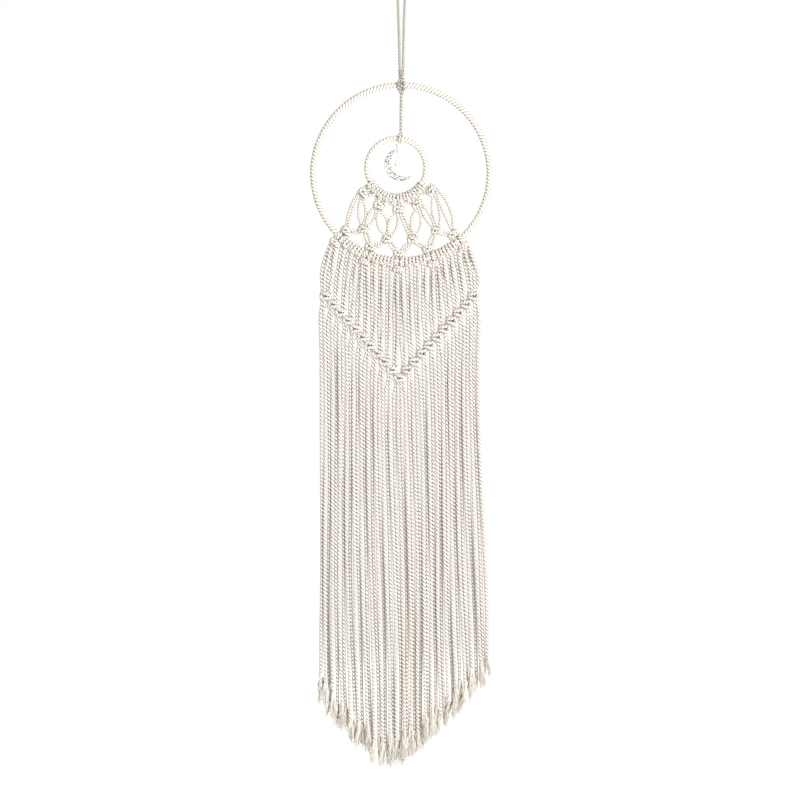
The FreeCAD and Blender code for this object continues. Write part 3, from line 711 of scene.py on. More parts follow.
def v_way(side, knot, slot):
    """(piece, points) of a cord's way through a V knot, its slot counted from the V's outer side."""
    slot = slot if side < 0 else PER_KNOT - 1 - slot
    if knot > len(v_left):
        return "v_knot_centre", square_knot(v_centre, slot, height=V_PLUMP)
    node = "v_knots_left" if side < 0 else "v_knots_right"
    return node, square_knot(v_place(side, knot), slot, mirror=-side, height=V_PLUMP)


FRINGE_START = 14.0
FRINGE_SPANS = 9


def hang(route, number, group):
    """From the route's last point: down the curtain, through the V knots and down the fringe."""
    side = -1 if number <= HALF else 1
    inward = number if side < 0 else CORDS + 1 - number
    first_knot = max(1, math.ceil(inward / 2) - 1)
    slots = {knot: inward - 2 * knot + 1 for knot in (first_knot, first_knot + 1)}
    slots = {knot: slot for knot, slot in slots.items() if 0 <= slot < PER_KNOT}
    above_v = v_place(side, min(slots))[1] + KNOT_HALF_HEIGHT
    route.go(fan_out(route.points[-1], number, above_v), "curtain_" + group)
    for knot, slot in slots.items():
        node, way = v_way(side, knot, slot)
        if knot == min(slots):
            route.go(way[:1], "curtain_" + group)
            way = way[1:]
        route.go(way, node)
    _, top, _, panel = fringe_cords[number - 1]
    top -= FRINGE_START
    end = sum(cord_end(number))
    heights = [top + (end - top) * i / FRINGE_SPANS for i in range(FRINGE_SPANS + 1)]
    route.go([fringe_point(number, z) + [CORD] for z in heights], "fringe_" + panel)
    route.lay()


def head_places(node, ring):
    """The angles of a node's lark's heads on a ring, and the radius of the cord that fills their spacing."""
    angles = sorted(ring.angle_of(middle(pair)) for pair in solids(node))
    pitch = math.radians((angles[-1] - angles[0]) / (len(angles) - 1)) * ring.radius
    return angles, pitch / 4


def make_outer_heads():
    """Cords folded over the foot of the big hoop, three to a group."""
    for index, group in enumerate(HEAD_GROUPS):
        angles, cord = head_places("lark_heads_" + group, OUTER)
        number = PER_KNOT + 1 + index * (PER_KNOT + PER_HEAD * PER_GROUP)
        for angle in angles:
            for side in (-1, 1):
                route = Route()
                route.go(lark_head(OUTER, angle, side, cord), "lark_heads_" + group)
                hang(route, number, group)
                number += 1


# ---- net


# A turn of cord round the big hoop: (shift along it in mm, depth and distance out as shares of the hug).
HITCH = [
    (3.6, -0.7, -0.95), (4.3, -1.05, -0.1), (4.7, -0.6, 0.85), (4.9, 0.45, 0.9), (4.7, 1.0, -0.1),
    (3.9, 0.4, -0.95), (2.5, -0.65, -0.85), (1.95, -1.08, 0.1), (2.4, -0.75, 1.0),
]
PASS_BEHIND = [(1.6, 1.0, 0.0)]
# a hoop knot's upper half stands inside the wire, its lower half outside
HOOP_KNOT_INSET = 9.6
HOOP_KNOT_OUTSET = 8.6
# height of a hoop knot's lower half and width of the net's lower knots, as shares of a plain knot's
HOOP_KNOT_HEIGHT = 0.76
LOWER_KNOT_WIDTH = 0.92
# mm by which each of two paired net cords bows away from the other, from left to right
PAIR_SPREADS = [0.5, 2.8, 2.3, 4.0, 3.4, 0.6, 4.0, 1.8, 2.6, 2.5]
# the outermost pairs bow outwards by this much more
EDGE_BOW = 1.8


def bow(start, end, bulge, depth=0.0):
    """Two points that carry a net cord from start to end in a bow."""
    run = np.array([end[0] - start[0], end[2] - start[2]])
    out = np.array([-run[1], run[0]]) / np.linalg.norm(run)
    points = []
    for share in (0.3, 0.7):
        x = start[0] + run[0] * share + out[0] * bulge
        z = start[2] + run[1] * share + out[1] * bulge
        points.append([x, depth, z, NET_CORD])
    return points


def row_knots(node, ring, lean):
    """((x, z), lean in degrees) of each knot in a row of the net."""
    places = [middle(pair) for pair in solids(node)]
    return [(place, lean * (ring.angle_of(place) - FOOT)) for place in places]


def hoop_knot_angle(name):
    return OUTER.angle_of(middle(whole("hoop_knot_" + name)))


def round_hoop(angle, slot):
    """A net cord's way round the big hoop: a knot's outer cords take a turn, the others pass behind."""
    side = 1 if slot >= PER_KNOT / 2 else -1
    hug = OUTER.wire + KNOT_CORD * 0.95
    way = HITCH if slot in (0, PER_KNOT - 1) else PASS_BEHIND
    return [OUTER.at(angle, out * hug, depth * hug, side * along) + [KNOT_CORD] for along, depth, out in way]


def make_net():
    """Cords folded over the small hoop, knotted in two rows and again round the foot of the big hoop."""
    angles, head_cord = head_places("inner_lark_heads", INNER)
    top_row = row_knots("net_knots_upper", INNER, 1.0)
    low_row = row_knots("net_knots_lower", OUTER, 0.3)
    last = PER_HEAD * len(angles) - 1
    for number in range(last + 1):
        pair, right = divmod(number, PER_HEAD)
        knot, slot = divmod(number, PER_KNOT)
        side = 1 if right else -1
        target = HOOP_KNOTS[knot]
        angle = hoop_knot_angle(target)
        route = Route()
        route.go(lark_head(INNER, angles[pair], side, head_cord), "inner_lark_heads")
        place, lean = top_row[knot]
        route.go(square_knot(place, slot, lean), "net_knots_upper")
        above = OUTER.at(angle, -HOOP_KNOT_INSET)
        into_hoop = square_knot((above[0], above[2]), slot, angle - FOOT)
        bulge = side * PAIR_SPREADS[pair]
        if PER_HEAD <= number <= last - PER_HEAD:
            low_knot, low_slot = divmod(number - PER_HEAD, PER_KNOT)
            place, lean = low_row[low_knot]
            way = square_knot(place, low_slot, lean, width=LOWER_KNOT_WIDTH)[:-1]
            route.go(bow(route.points[-1], way[0], bulge, 0.5 * side), "net_cords_middle")
            route.go(way, "net_knots_lower")
            into_hoop = into_hoop[1:]
            route.go(bow(way[-1], into_hoop[0], 1.1 * side, 0.6 * side), "net_to_" + target)
        else:
            bulge += EDGE_BOW * (-1 if number < PER_HEAD else 1)
            route.go(bow(route.points[-1], into_hoop[0], bulge), "net_to_" + target)
        route.go(into_hoop[:1], "net_to_" + target)
        route.go(into_hoop[1:], "hoop_knot_" + target)
        route.go(round_hoop(angle, slot), "hoop_knot_" + target)
        below = OUTER.at(angle, HOOP_KNOT_OUTSET)
        way = square_knot((below[0], below[2]), slot, angle - FOOT, height=HOOP_KNOT_HEIGHT)
        route.go(way, "hoop_knot_" + target)
        hang(route, knot * (PER_KNOT + PER_HEAD * PER_GROUP) + slot + 1, target)


# ---- combed-out ends


YARNS = 22
YARN_RINGS = 14
YARN_SIDES = 3
# the combed-out part overlaps the foot of its cord
FRAY_OVERLAP = 3.0
LOCK = (PLIES, 1, 1)
YARN = (PLIES, YARNS, 1)


def wave(amplitude, length, pitch, ease):
    """Two sine waves, across and in depth, along strands of some length."""
    phase = noise.uniform(0.0, TAU, pitch.shape + (2,))
    roll = TAU * length / pitch
    return [amplitude * ease * np.sin(roll + phase[..., k]) for k in range(2)]


def frayed_end(number):
    """(corners of each yarn, its seed) of a cord's end: each ply opens into a wavy lock of yarns."""
    share = np.linspace(0.0, 1.0, YARN_RINGS)[None, None, :]
    ease = np.minimum(1.0, share * 2.5)
    tip, comb = cord_end(number)
    reach_down = comb + FRAY_OVERLAP
    root = np.array(fringe_point(number, tip + reach_down))
    lock_length = reach_down * noise.uniform(0.90, 1.10, LOCK)
    length = lock_length * (1.0 - 0.42 * noise.uniform(0.0, 1.0, YARN) ** 1.6)
    aim = TAU * np.arange(PLIES).reshape(LOCK) / PLIES + noise.uniform(0.0, TAU) - 1.6 * share
    parting = 1.0 + noise.uniform(0.2, 1.9, LOCK) * ease**1.5 * (1.0 - 0.2 * share)
    bend = noise.normal(0.0, 2.2, 2) * [1.0, 0.7]
    drift = noise.normal(0.0, 1.0, LOCK + (2,))
    lock_wave = wave(
        noise.uniform(0.35, 1.25, LOCK), share * lock_length, noise.uniform(10, 17, LOCK), ease
    )
    own = noise.uniform(0.0, TAU, YARN)
    reach = 1.1 * np.sqrt(noise.uniform(0.0, 1.0, YARN)) * (1.0 + 1.7 * share**1.3)
    stray = noise.normal(0.0, 0.9, YARN + (2,)) * share[..., None] ** 1.5
    crimp = wave(noise.uniform(0.1, 0.42, YARN), share * length, noise.uniform(4.5, 8.0, YARN), ease)
    sides = [
        root[k] + parting * circle(aim) + reach * circle(own) + lock_wave[k] + crimp[k]
        + (bend[k] + drift[..., k]) * share**1.5 + stray[..., k]
        for k, circle in enumerate((np.cos, np.sin))
    ]
    centre = np.stack([*sides, root[2] - length * share], -1)
    width = (0.42 - 0.27 * share**1.5) * noise.uniform(0.75, 1.1, YARN)
    turn = np.arange(YARN_SIDES) * TAU / YARN_SIDES
    skin = np.stack([np.cos(turn), np.sin(turn), 0 * turn], -1)
    corners = centre[..., None, :] + width[..., None, None] * skin
    seeds = 0.45 * noise.uniform(0.0, 1.0, LOCK) + 0.55 * noise.uniform(0.0, 1.0, YARN)
    return corners.reshape(-1, YARN_RINGS * YARN_SIDES, 3), seeds.ravel()


def make_frayed_ends():
    """The combed-out ends of each panel's cords, as one piece of many thin yarns."""
    side_faces = ring_faces(YARN_RINGS, YARN_SIDES)[..., [1, 0, 3, 2]].reshape(1, -1)
    caps = np.array([[0, 1, 2, 2, 1, 0]]) + np.repeat([0, (YARN_RINGS - 1) * YARN_SIDES], 3)
    for panel in PANELS:
        numbers = [i for i, cord in enumerate(fringe_cords, start=1) if cord[3] == panel]
        clouds, seeds = zip(*[frayed_end(number) for number in numbers])
        vertices, seeds = np.concatenate(clouds), np.concatenate(seeds)
        yarns = len(vertices)
        first = (np.arange(yarns) * YARN_RINGS * YARN_SIDES)[:, None]
        corners = np.hstack([first + side_faces, first + caps]).ravel()
        sizes = np.tile(np.repeat([4, 3], [(YARN_RINGS - 1) * YARN_SIDES, 2]), yarns)
        seed = np.repeat(seeds, len(corners) // yarns)
        marks = np.stack([np.full(len(seed), 0.5), np.zeros(len(seed)), seed], -1)
        unwrap = np.stack([seed, (np.arange(len(seed)) % 4 > 1) * 0.9], -1)
        piece = mesh_piece(
            f"fringe_{panel}_ends", vertices.reshape(-1, 3), corners, sizes, fray_cotton, marks, unwrap
        )
        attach(piece, "fringe_" + panel)


# ---- hoops


WRAP_PITCH = 4.1
WRAP_SLANT = 0.55
WRAP_PLUMP = 1.12
WRAP_LAY = 6.6
WRAP_STEP = 0.8
WRAP_SIDES = 15
PER_TURN = 10


def hoop_wrap(name, ring, first, last):
    """Cord wound closely round a hoop's wire, pressed flat against it."""
    flat = (size_of(name)[1] / 2 - ring.wire) / 2
    seat = ring.wire + flat
    turns = round(math.radians(last - first) * ring.radius / WRAP_PITCH)
    points = []
    for i in range(turns * PER_TURN + 1):
        share = i / (turns * PER_TURN)
        roll = TAU * share * turns
        out = seat * math.cos(roll)
        place = ring.at(first + (last - first) * share, out, -seat * math.sin(roll), -WRAP_SLANT * out)
        points.append(place + [WRAP_PITCH / 2])
    hub = np.array([ring.x, 0.0, ring.z])

    def press(centre):
        out = (centre - hub) * [1.0, 0.0, 1.0]
        return unit(centre - (unit(out) * ring.radius + hub)), flat / (WRAP_PITCH / 2) * WRAP_PLUMP

    give_whole(
        name, points, step=WRAP_STEP, sides=WRAP_SIDES, lay=WRAP_LAY, press=press, offset=SOFT_PLY_OFFSET
    )


# degrees between the middle of the outermost hoop knots and the big hoop's winding
WRAP_START = 1.6
# degrees by which the small hoop's winding reaches in beside its outermost lark's heads
WRAP_OVERLAP = 1.0


def make_wraps():
    first, last = hoop_knot_angle("far_right"), hoop_knot_angle("far_left") + 360.0
    hoop_wrap("outer_hoop_wrap", OUTER, first + WRAP_START, last - WRAP_START)
    angles, _ = head_places("inner_lark_heads", INNER)
    half = (angles[1] - angles[0]) / 2
    first, last = angles[-1] + half, angles[0] - half + 360.0
    hoop_wrap("inner_hoop_wrap", INNER, first - WRAP_OVERLAP, last + WRAP_OVERLAP)


# ---- hanger and drop cord


def coil(name, x, top, bottom, radius, cord, turns):
    """Cord wound round an upright axis, with its ends tucked in."""
    points = []
    total = int(turns * PER_TURN)
    for i in range(total + 1):
        share = i / total
        turn = TAU * turns * share
        tuck = radius * min(1.0, 0.35 + 3.0 * share, 0.35 + 3.0 * (1.0 - share))
        z = top + (bottom - top) * share
        points.append([x + tuck * math.sin(turn), -tuck * math.cos(turn), z, cord])
    give_whole(name, points, lay=COIL_LAY)


def make_hanging_loop(offset):
    """A doubled cord: two strands that stand apart by an offset at their foot, joined by the nail's eye."""
    low, high = whole("hanging_loop")
    cord = (high[1] - low[1]) / 2
    eye = (high[0] - low[0]) / 2 - cord
    crown = high[2] - cord - eye
    foot = whole("gathering_knot")[1][2] - 8.0
    strand = []
    for share in (0.0, 0.2, 0.45, 0.7, 0.9):
        reach = offset + (eye - offset) * share**1.3
        strand.append([-reach, 0.35 * math.sin(9.0 * share), foot + (crown - foot) * share, cord])
    arch = [[-eye * c, 0.0, crown + eye * s, cord] for c, s in circling(range(0, 181, 30))]
    other = [[-x, -y, z, r] for x, y, z, r in reversed(strand)]
    give_whole("hanging_loop", strand + arch + other, lay=THIN_LAY)
    return cord


# Half of the hitch over the big hoop: (shift along as a share of its spread, depth and distance out as
# shares of the hug).
HANGER_HITCH = [
    (0.0, -1.0, 1.02), (0.7, -1.04, 0.95), (1.0, -1.0, 0.3), (1.0, -0.92, -0.4),
    (1.0, -0.45, -0.92), (1.0, 0.45, -0.92), (1.0, 0.98, -0.2), (0.9, 0.85, 0.7), (0.6, 0.25, 1.25),
    (0.42, 0.0, 1.7),
]


def make_hanger():
    """The hanging loop, the knot that gathers it, and its hitch over the hoop."""
    knot_low, knot_high = whole("gathering_knot")
    knot_radius = (knot_high[0] - knot_low[0]) / 2
    offset = knot_radius * 0.54
    cord = make_hanging_loop(offset)
    thin = knot_radius * 0.42
    coil("gathering_knot", 0.0, knot_high[2] - 6.0, knot_low[2] + thin, knot_radius * 0.68, thin, 3.3)

    spread = 0.88 * (size_of("hoop_hitch")[0] / 2 - cord)
    hug = size_of("outer_hoop_wrap")[1] / 2 + cord * 0.9
    for side in (-1, 1):
        way = [[side * a * spread, y * hug, OUTER_TOP + out * hug, cord] for a, y, out in HANGER_HITCH]
        way.append([side * offset * 0.6, 0.0, knot_low[2] + 4.0, cord * 0.9])
        give_whole("hoop_hitch", way, lay=THIN_LAY)


def tie_to_outer(hub, cord):
    """Two loops over the big hoop that come together in a small coil."""
    hug = size_of("outer_hoop_wrap")[1] / 2 + cord * 0.9
    for side in (-1, 1):
        way = [[side * 0.8, 0.0, hub - 2.4, cord], [side * 1.1, side * 1.2, hub + 0.6, cord]]
        for c, s in circling((-50, -10, 35, 90)):
            way.append([side * 0.5, side * hug * c, OUTER_TOP + hug * s, cord])
        give_whole("drop_cord_tie", way, lay=THIN_LAY)
    coil("drop_cord_tie", 0.0, hub + 1.6, hub - 1.6, 1.9, cord, 1.6)


def tie_to_inner(x, top, cord):
    """Two turns round the small hoop under a small coil."""
    angle = INNER.angle_of((x, INNER.z + math.sqrt(INNER.radius**2 - (x - INNER.x) ** 2)))
    hug = size_of("inner_hoop_wrap")[1] / 2 + cord * 0.9
    turns = circling(range(20, 341, 40))
    for shift in (-cord, cord):
        way = [INNER.at(angle, hug * c, hug * s, shift) + [cord] for c, s in turns]
        way.append(INNER.at(angle, hug + 2.2, -0.6, shift * 0.4) + [cord])
        give_whole("drop_cord_knot", way, lay=THIN_LAY)
    hub = top - 2.4
    coil("drop_cord_knot", x, hub + 1.7, hub - 1.9, 2.0, cord * 0.85, 1.8)


def make_drop_cord():
    """The single cord between the hoops and the small knots that tie it to each."""
    cord = size_of("drop_cord")[1] / 2
    tie_foot = whole("drop_cord_tie")[0][2]
    knot_low, knot_high = whole("drop_cord_knot")
    knot_x, knot_top = (knot_low[0] + knot_high[0]) / 2, knot_high[2]
    way = [
        [0.0, 0.0, tie_foot + 3.0, cord],
        [-0.1, 0.0, tie_foot - 6.0, cord],
        [-0.4, 0.2, (tie_foot + knot_top) / 2, cord],
        [knot_x, 0.0, knot_top + 2.0, cord],
        [knot_x, 0.0, knot_top - 5.0, cord],
    ]
    give_whole("drop_cord", way, lay=THIN_LAY)
    tie_to_outer(tie_foot + 2.2, cord * 0.62)
    tie_to_inner(knot_x, knot_top, cord * 0.8)


# ---- charm


def make_charm_thread():
    """A thin twisted thread round the small hoop that carries the upper jump ring."""
    low, high = whole("charm_thread")
    x = (low[0] + high[0]) / 2
    thin = (high[0] - low[0]) / 2
    reach = (high[1] - low[1]) / 2 - thin
    crown = high[2] - thin - reach
    foot = low[2] + thin
    points = [[x, reach * c, crown + reach * s, thin] for c, s in circling(range(0, 181, 20))]
    half_way = (crown + foot) / 2
    for y, z in ((-reach * 0.55, half_way), (-1.2, foot + 0.9), (0.0, foot), (1.2, foot + 0.9)):
        points.append([x, y, z, thin])
    points += [[x, reach * 0.55, half_way, thin], points[0]]
    give_whole("charm_thread", points, step=0.35, sides=12, lay=2.6)


def ray(angle, length=1.0):
    """A step of some length in the XZ plane, at an angle in degrees."""
    turn = math.radians(angle)
    return length * np.array([math.cos(turn), 0.0, math.sin(turn)])


def round_tube(points, radius, sides):
    """Corners and faces of a closed round tube along a loop of points in the XZ plane."""
    centre = np.array(points, float)
    tangent = unit(np.roll(centre, -1, 0) - np.roll(centre, 1, 0))
    y_axis = np.tile([0.0, 1.0, 0.0], (len(centre), 1))
    side = unit(np.cross(tangent, y_axis))
    turn = (np.arange(sides) * TAU / sides)[None, :, None]
    skin = radius * (side[:, None, :] * np.cos(turn) + y_axis[:, None, :] * np.sin(turn))
    ring = np.arange(len(centre))[:, None] * sides
    step = np.arange(sides)[None, :]
    after = (step + 1) % sides
    following = np.roll(ring, -1, 0)
    faces = np.stack([ring + step, following + step, following + after, ring + after], -1)
    return (centre[:, None, :] + skin).reshape(-1, 3), faces.reshape(-1, 4).tolist()


def ring_of(centre, radius, wire, steps, sides):
    """Corners and faces of a round ring that faces the viewer."""
    return round_tube([centre + ray(360.0 * k / steps, radius) for k in range(steps)], wire, sides)


BALL_ROWS = 8
BALL_COLUMNS = 14


def ball(centre, radius, squash):
    """Corners and faces of a small rounded boss, squashed or stretched in depth."""
    points = [centre - [0.0, radius * squash, 0.0]]
    for row in range(1, BALL_ROWS):
        lean = math.pi * row / BALL_ROWS
        depth = [0.0, -radius * squash * math.cos(lean), 0.0]
        for column in range(BALL_COLUMNS):
            points.append(centre + depth + ray(360.0 * column / BALL_COLUMNS, radius * math.sin(lean)))
    points.append(centre + [0.0, radius * squash, 0.0])
    last = len(points) - 1
    faces = []
    for column in range(BALL_COLUMNS):
        after = (column + 1) % BALL_COLUMNS
        faces.append([0, 1 + column, 1 + after])
        for row in range(BALL_ROWS - 2):
            a, b = 1 + row * BALL_COLUMNS, 1 + (row + 1) * BALL_COLUMNS
            faces.append([a + column, b + column, b + after, a + after])
        a = 1 + (BALL_ROWS - 2) * BALL_COLUMNS
        faces.append([last, a + after, a + column])
    return np.array(points), faces


def solid_piece(name, parts, material, smooth_shading):
    """One object from several (corners, faces) pairs."""
    vertices, faces, base = [], [], 0
    for points, polygons in parts:
        vertices.append(points)
        faces += [[base + corner for corner in polygon] for polygon in polygons]
        base += len(points)
    mesh = bpy.data.meshes.new(name)
    mesh.from_pydata((np.vstack(vertices) * MM).tolist(), [], faces)
    mesh.update()
    mesh.polygons.foreach_set("use_smooth", np.full(len(mesh.polygons), smooth_shading))
    mesh.materials.append(material)
    return add_object(name, mesh)


# The crescent: its outer circle's radius, the angle its opening faces, half the angle between its horns,
# its width at its widest, and how far the outer rim stands in from the outer circle.
MOON_RADIUS = 18.4
MOON_FACES = 30.0
HORN = 75.5
BELLY = 7.0
RIM_INSET = 0.3
# degrees at each horn's point that the rims leave out
HORN_TIP = 1.0
RIM_WIRE = 0.62
RIM_STEPS = 60
MOON_ARC = 360.0 - 2 * HORN
# openwork cells between the rims: their number, the stretch of the arc they fill, the least width for one
CELLS = 9
CELLS_START = 0.10
CELLS_SHARE = 0.80
LEAST_WIDTH = 2.6
BAIL_RADIUS = 1.3
BAIL_WIRE = 0.38
BAIL_DROP = 1.68


class Crescent:
    """The two circles of the crescent, the inner one centred towards its opening."""

    def __init__(self, corner):
        self.centre = np.array([corner[0] + MOON_RADIUS, 0.0, corner[2] + MOON_RADIUS])
        waist = MOON_RADIUS - BELLY
        horn = MOON_RADIUS * math.cos(math.radians(HORN))
        self.shift = (MOON_RADIUS**2 - waist**2) / (2 * (waist + horn))
        self.hollow = waist + self.shift

    def outer(self, angle, inset=0.0):
        return self.centre + ray(angle, MOON_RADIUS - inset)

    def inner(self, angle):
        along = self.shift * math.cos(math.radians(angle - MOON_FACES))
        return self.centre + ray(angle, along + math.sqrt(along**2 - self.shift**2 + self.hollow**2))

    def across(self, share):
        """The outer and inner rim's points at a share of the way along the openwork."""
        angle = MOON_FACES + HORN + MOON_ARC * (CELLS_START + CELLS_SHARE * share)
        return self.outer(angle), self.inner(angle)


def boss_pair(a, b, share, radius, squash):
    """Two bosses that stand a share of the way from the middle between two points to each of them."""
    return [ball((a + b) / 2 + (end - (a + b) / 2) * share, radius, squash) for end in (a, b)]


def openwork_cell(moon, cell):
    """A ring with a boss in it and one at each rim, and three bosses before the next ring."""
    share = (cell + 0.5) / CELLS
    a, b = moon.across(share)
    width = np.linalg.norm(a - b)
    if width < LEAST_WIDTH:
        return []
    eye = 0.30 * width
    parts = [ring_of((a + b) / 2, eye, 0.36, 20, 8), ball((a + b) / 2, 0.42 * eye, 1.1)]
    parts += boss_pair(a, b, 0.80, 0.16 * width, 0.9)
    c, d = moon.across(share + 0.5 / CELLS)
    gap = np.linalg.norm(c - d)
    parts.append(ball((c + d) / 2, 0.12 * gap + 0.25, 1.0))
    return parts + boss_pair(c, d, 0.55, 0.10 * gap + 0.2, 1.0)


def make_moon():
    """An openwork crescent: two round rims with rings and bosses between them, and a bail."""
    low, high = whole("crescent_moon")
    moon = Crescent(low)
    start = MOON_FACES + HORN + HORN_TIP
    angles = [start + (MOON_ARC - 2 * HORN_TIP) * i / RIM_STEPS for i in range(RIM_STEPS + 1)]
    outline = [moon.outer(a, RIM_INSET) for a in angles] + [moon.inner(a) for a in angles[-2:0:-1]]
    parts = [round_tube(outline, RIM_WIRE, 10)]
    for cell in range(CELLS):
        parts += openwork_cell(moon, cell)
    bail = np.array([middle(whole("lower_jump_ring"))[0], 0.0, high[2] - BAIL_DROP])
    parts.append(ring_of(bail, BAIL_RADIUS, BAIL_WIRE, 28, 10))
    piece = solid_piece("moon_openwork", parts, old_silver, True)
    settle(piece, "moon", "crescent_moon")


# The drop's facets: their number round it, and each level as shares of its height and radius.
FACETS = 10
BEAD_LEVELS = [(0.0, 0.20), (0.30, 0.52), (0.52, 0.86), (0.68, 1.0), (0.84, 0.80), (0.95, 0.42)]


def make_bead():
    """A clear drop with rows of flat facets."""
    low, high = whole("glass_bead")
    x = (low[0] + high[0]) / 2
    height, radius = high[2] - low[2], (high[0] - low[0]) / 2
    points, faces = [], []
    for level, (drop, wide) in enumerate(BEAD_LEVELS):
        for k in range(FACETS):
            turn = TAU * (k + 0.5 * (level % 2)) / FACETS
            reach = radius * wide
            points.append([x + reach * math.cos(turn), reach * math.sin(turn), high[2] - drop * height])
    crown, foot = len(points), len(points) + 1
    points += [[x, 0.0, high[2]], [x, 0.0, low[2]]]
    last = (len(BEAD_LEVELS) - 1) * FACETS
    for level in range(len(BEAD_LEVELS) - 1):
        for k in range(FACETS):
            a, b = level * FACETS + k, level * FACETS + (k + 1) % FACETS
            c, d = a + FACETS, b + FACETS
            faces += [[a, b, d], [a, d, c]] if level % 2 else [[a, b, c], [b, d, c]]
    for k in range(FACETS):
        after = (k + 1) % FACETS
        faces += [[crown, after, k], [foot, last + k, last + after]]
    piece = solid_piece("bead_drop", [(np.array(points), faces)], glass, False)
    settle(piece, "bead", "glass_bead")


# ---- assembly


RIDERS = {
    "gathering_knot": "gathering_knot",
    "hoop_hitch": "hoop_hitch",
    "drop_cord_tie": "outer_hoop",
    "outer_hoop_wrap": "outer_hoop",
    "inner_hoop_wrap": "inner_hoop",
    "inner_lark_heads": "inner_hoop",
    "drop_cord_knot": "inner_hoop",
    "drop_cord": "drop_cord",
    "net_knots_upper": "net",
    "net_knots_lower": "net",
    "net_cords_middle": "net",
    "v_knots_left": "curtain",
    "v_knot_centre": "curtain",
    "v_knots_right": "curtain",
}
HANGER_PARTS = ("gathering_knot", "hoop_hitch", "drop_cord", "drop_cord_tie")
WRAPS = ("outer_hoop_wrap", "inner_hoop_wrap")


def cloth_of(node):
    if node in HANGER_PARTS:
        return hanger_cotton
    if node in WRAPS:
        return wrap_cotton
    return knot_cotton_shaded if any(word in node for word in ("knot", "lark", "net")) else cord_cotton


def ride_piece(node, body):
    """A cord piece that moves as one with a body."""
    piece = cord_piece(node, cloth_of(node))
    settle(piece, body, node)


def bend_piece(name, cloth, replaced=None):
    """A cord piece that rides on no body: its place is baked into its mesh.

    It replaces the CAD node of its own name, unless it is told which ones.
    """
    piece = cord_piece(name, cloth)
    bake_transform(piece)
    nodes = [name] if replaced is None else replaced
    if nodes:
        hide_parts(*nodes)


def place_hanger():
    bend_piece("hanging_loop", hanger_cotton)
    bend_piece("charm_thread", cord_cotton)


def place_net():
    for knot in HOOP_KNOTS:
        replaced = ["net_cords_bottom", "net_cords_sides"] if knot == HOOP_KNOTS[0] else []
        bend_piece("net_to_" + knot, knot_cotton_shaded, replaced)


def place_curtain():
    for group in CURTAIN_GROUPS:
        bend_piece("curtain_" + group, cord_cotton)


def place_fringe():
    """Makes the cord piece of each panel."""
    for panel, (side, first, last) in PANELS.items():
        name = "fringe_" + panel
        bend_piece(name, cord_cotton)


def place_pieces():
    """Makes each cord piece, and says which body it rides on, for those that ride on one."""
    for node, body in RIDERS.items():
        ride_piece(node, body)
    for group in HEAD_GROUPS:
        ride_piece("lark_heads_" + group, "outer_hoop")
    for knot in HOOP_KNOTS:
        ride_piece("hoop_knot_" + knot, "outer_hoop")
    place_hanger()
    place_net()
    place_curtain()
    place_fringe()


def dress_cad_nodes():
    """Materials for the small metal parts that stay as CAD made them."""
    dress = dict.fromkeys(("outer_hoop_wire", "inner_hoop_wire"), wire_steel)
    dress |= dict.fromkeys(("upper_jump_ring", "lower_jump_ring", "bead_pin"), old_silver)
    for name, material in dress.items():
        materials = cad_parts[name].data.materials
        materials.clear()
        materials.append(material)


# ---- stage


WORLD_LIGHT = 0.39
WORLD_TINT = (1.0, 0.97, 0.93, 1.0)
FLOOR_REACH = 3.0
FLOOR_DROP = 0.12
# (name, (x, y, height above the object's middle) in m, width in m, power in W, colour)
LIGHTS = [
    ("key", (1.9, -2.5, 1.1), 0.7, 156.0, (1.0, 0.998, 0.995)),
    ("fill", (-2.2, -2.2, 0.2), 1.8, 12.0, (0.98, 0.99, 1.0)),
    ("back", (0.6, 2.2, 0.9), 1.4, 30.0, (1.0, 1.0, 1.0)),
]
# the camera stands straight in front and sees this height at its distance
VIEW_HEIGHT = 0.920
VIEW_X = -0.00161
VIEW_Z = -0.4905
CAMERA_DISTANCE = 3.2
SENSOR_WIDTH = 36.0
CLIP_END = 50.0


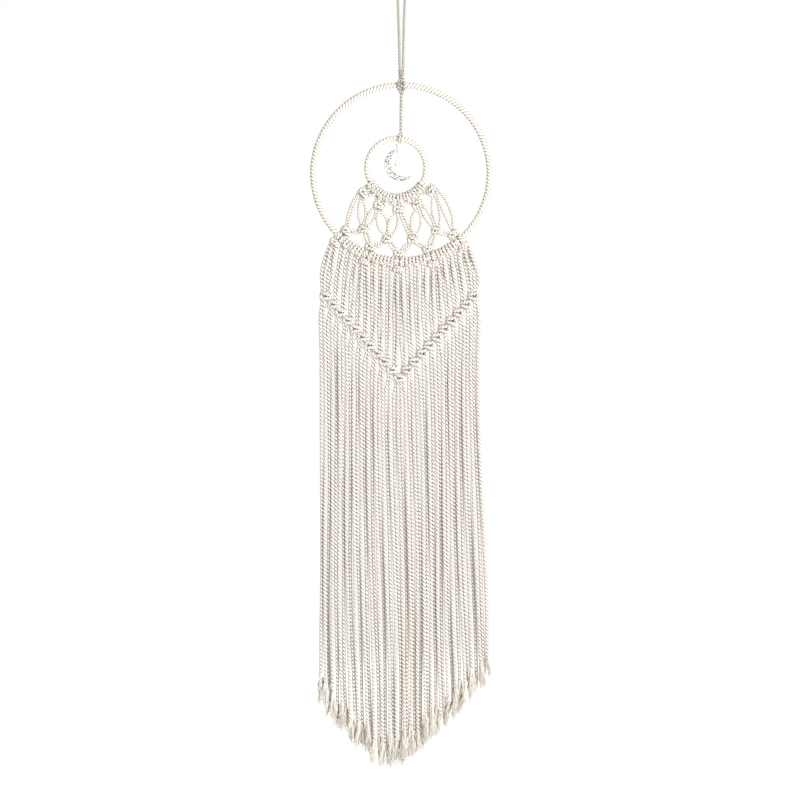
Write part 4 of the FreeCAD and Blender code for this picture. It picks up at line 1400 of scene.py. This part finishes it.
def light_world():
    """A white surround for the camera that lights the object more softly and a little warmer."""
    world = bpy.data.worlds.new("white")
    bpy.context.scene.world = world
    nodes = Nodes(world)
    background = nodes.tree.nodes["Background"]
    seen = nodes.add("ShaderNodeLightPath").outputs["Is Camera Ray"]
    nodes.feed(background.inputs["Strength"], nodes.ramp(seen, 0.0, 1.0, WORLD_LIGHT, 1.0))
    nodes.feed(background.inputs["Color"], nodes.mix(seen, WORLD_TINT, WHITE))


def make_floor():
    """A plain pale floor below the lowest tip of the fringe."""
    z = Vector(cad_box[0]).z - FLOOR_DROP
    near, far = -FLOOR_REACH, FLOOR_REACH
    mesh = bpy.data.meshes.new("floor")
    mesh.from_pydata([(near, near, z), (far, near, z), (far, far, z), (near, far, z)], [], [(0, 1, 2, 3)])
    nodes = Surface("pale_floor")
    mesh.materials.append(nodes.finish({
        "Base Color": nodes.mix(nodes.noise(6.0, 2.0), rgb(0.95, 0.95, 0.945), rgb(0.97, 0.97, 0.965)),
        "Roughness": 0.9,
        "Emission Color": WHITE,
        "Emission Strength": 0.6,
    }))
    add_object("floor", mesh)


def make_lights():
    """Soft area lights: a key from the upper right, a weak fill from the left, one behind."""
    low, high = Vector(cad_box[0]), Vector(cad_box[1])
    aim = ((low.x + high.x) / 2, 0.0, (low.z + high.z) / 2)
    for name, (x, y, above), width, power, colour in LIGHTS:
        data = bpy.data.lights.new(name, "AREA")
        data.shape = "SQUARE"
        data.size = width
        data.energy = power
        data.color = colour
        place = (x, y, aim[2] + above)
        lamp = add_object(name, data)
        lamp.location = place
        lamp.rotation_euler = (Vector(aim) - Vector(place)).to_track_quat("-Z", "Y").to_euler()


def make_camera():
    """A long lens, straight on."""
    data = bpy.data.cameras.new("camera")
    data.sensor_width = SENSOR_WIDTH
    data.lens = SENSOR_WIDTH * CAMERA_DISTANCE / VIEW_HEIGHT
    data.clip_end = CLIP_END
    camera = add_object("camera", data)
    camera.location = (VIEW_X, -CAMERA_DISTANCE, VIEW_Z)
    camera.rotation_euler = (math.radians(90.0), 0.0, 0.0)
    bpy.context.scene.camera = camera


def make_stage():
    bpy.context.scene.view_settings.view_transform = "Standard"
    light_world()
    make_floor()
    make_lights()
    make_camera()


make_outer_heads()
make_net()
make_wraps()
make_hanger()
make_drop_cord()
make_charm_thread()
place_pieces()
make_frayed_ends()
make_moon()
make_bead()
dress_cad_nodes()
make_stage()
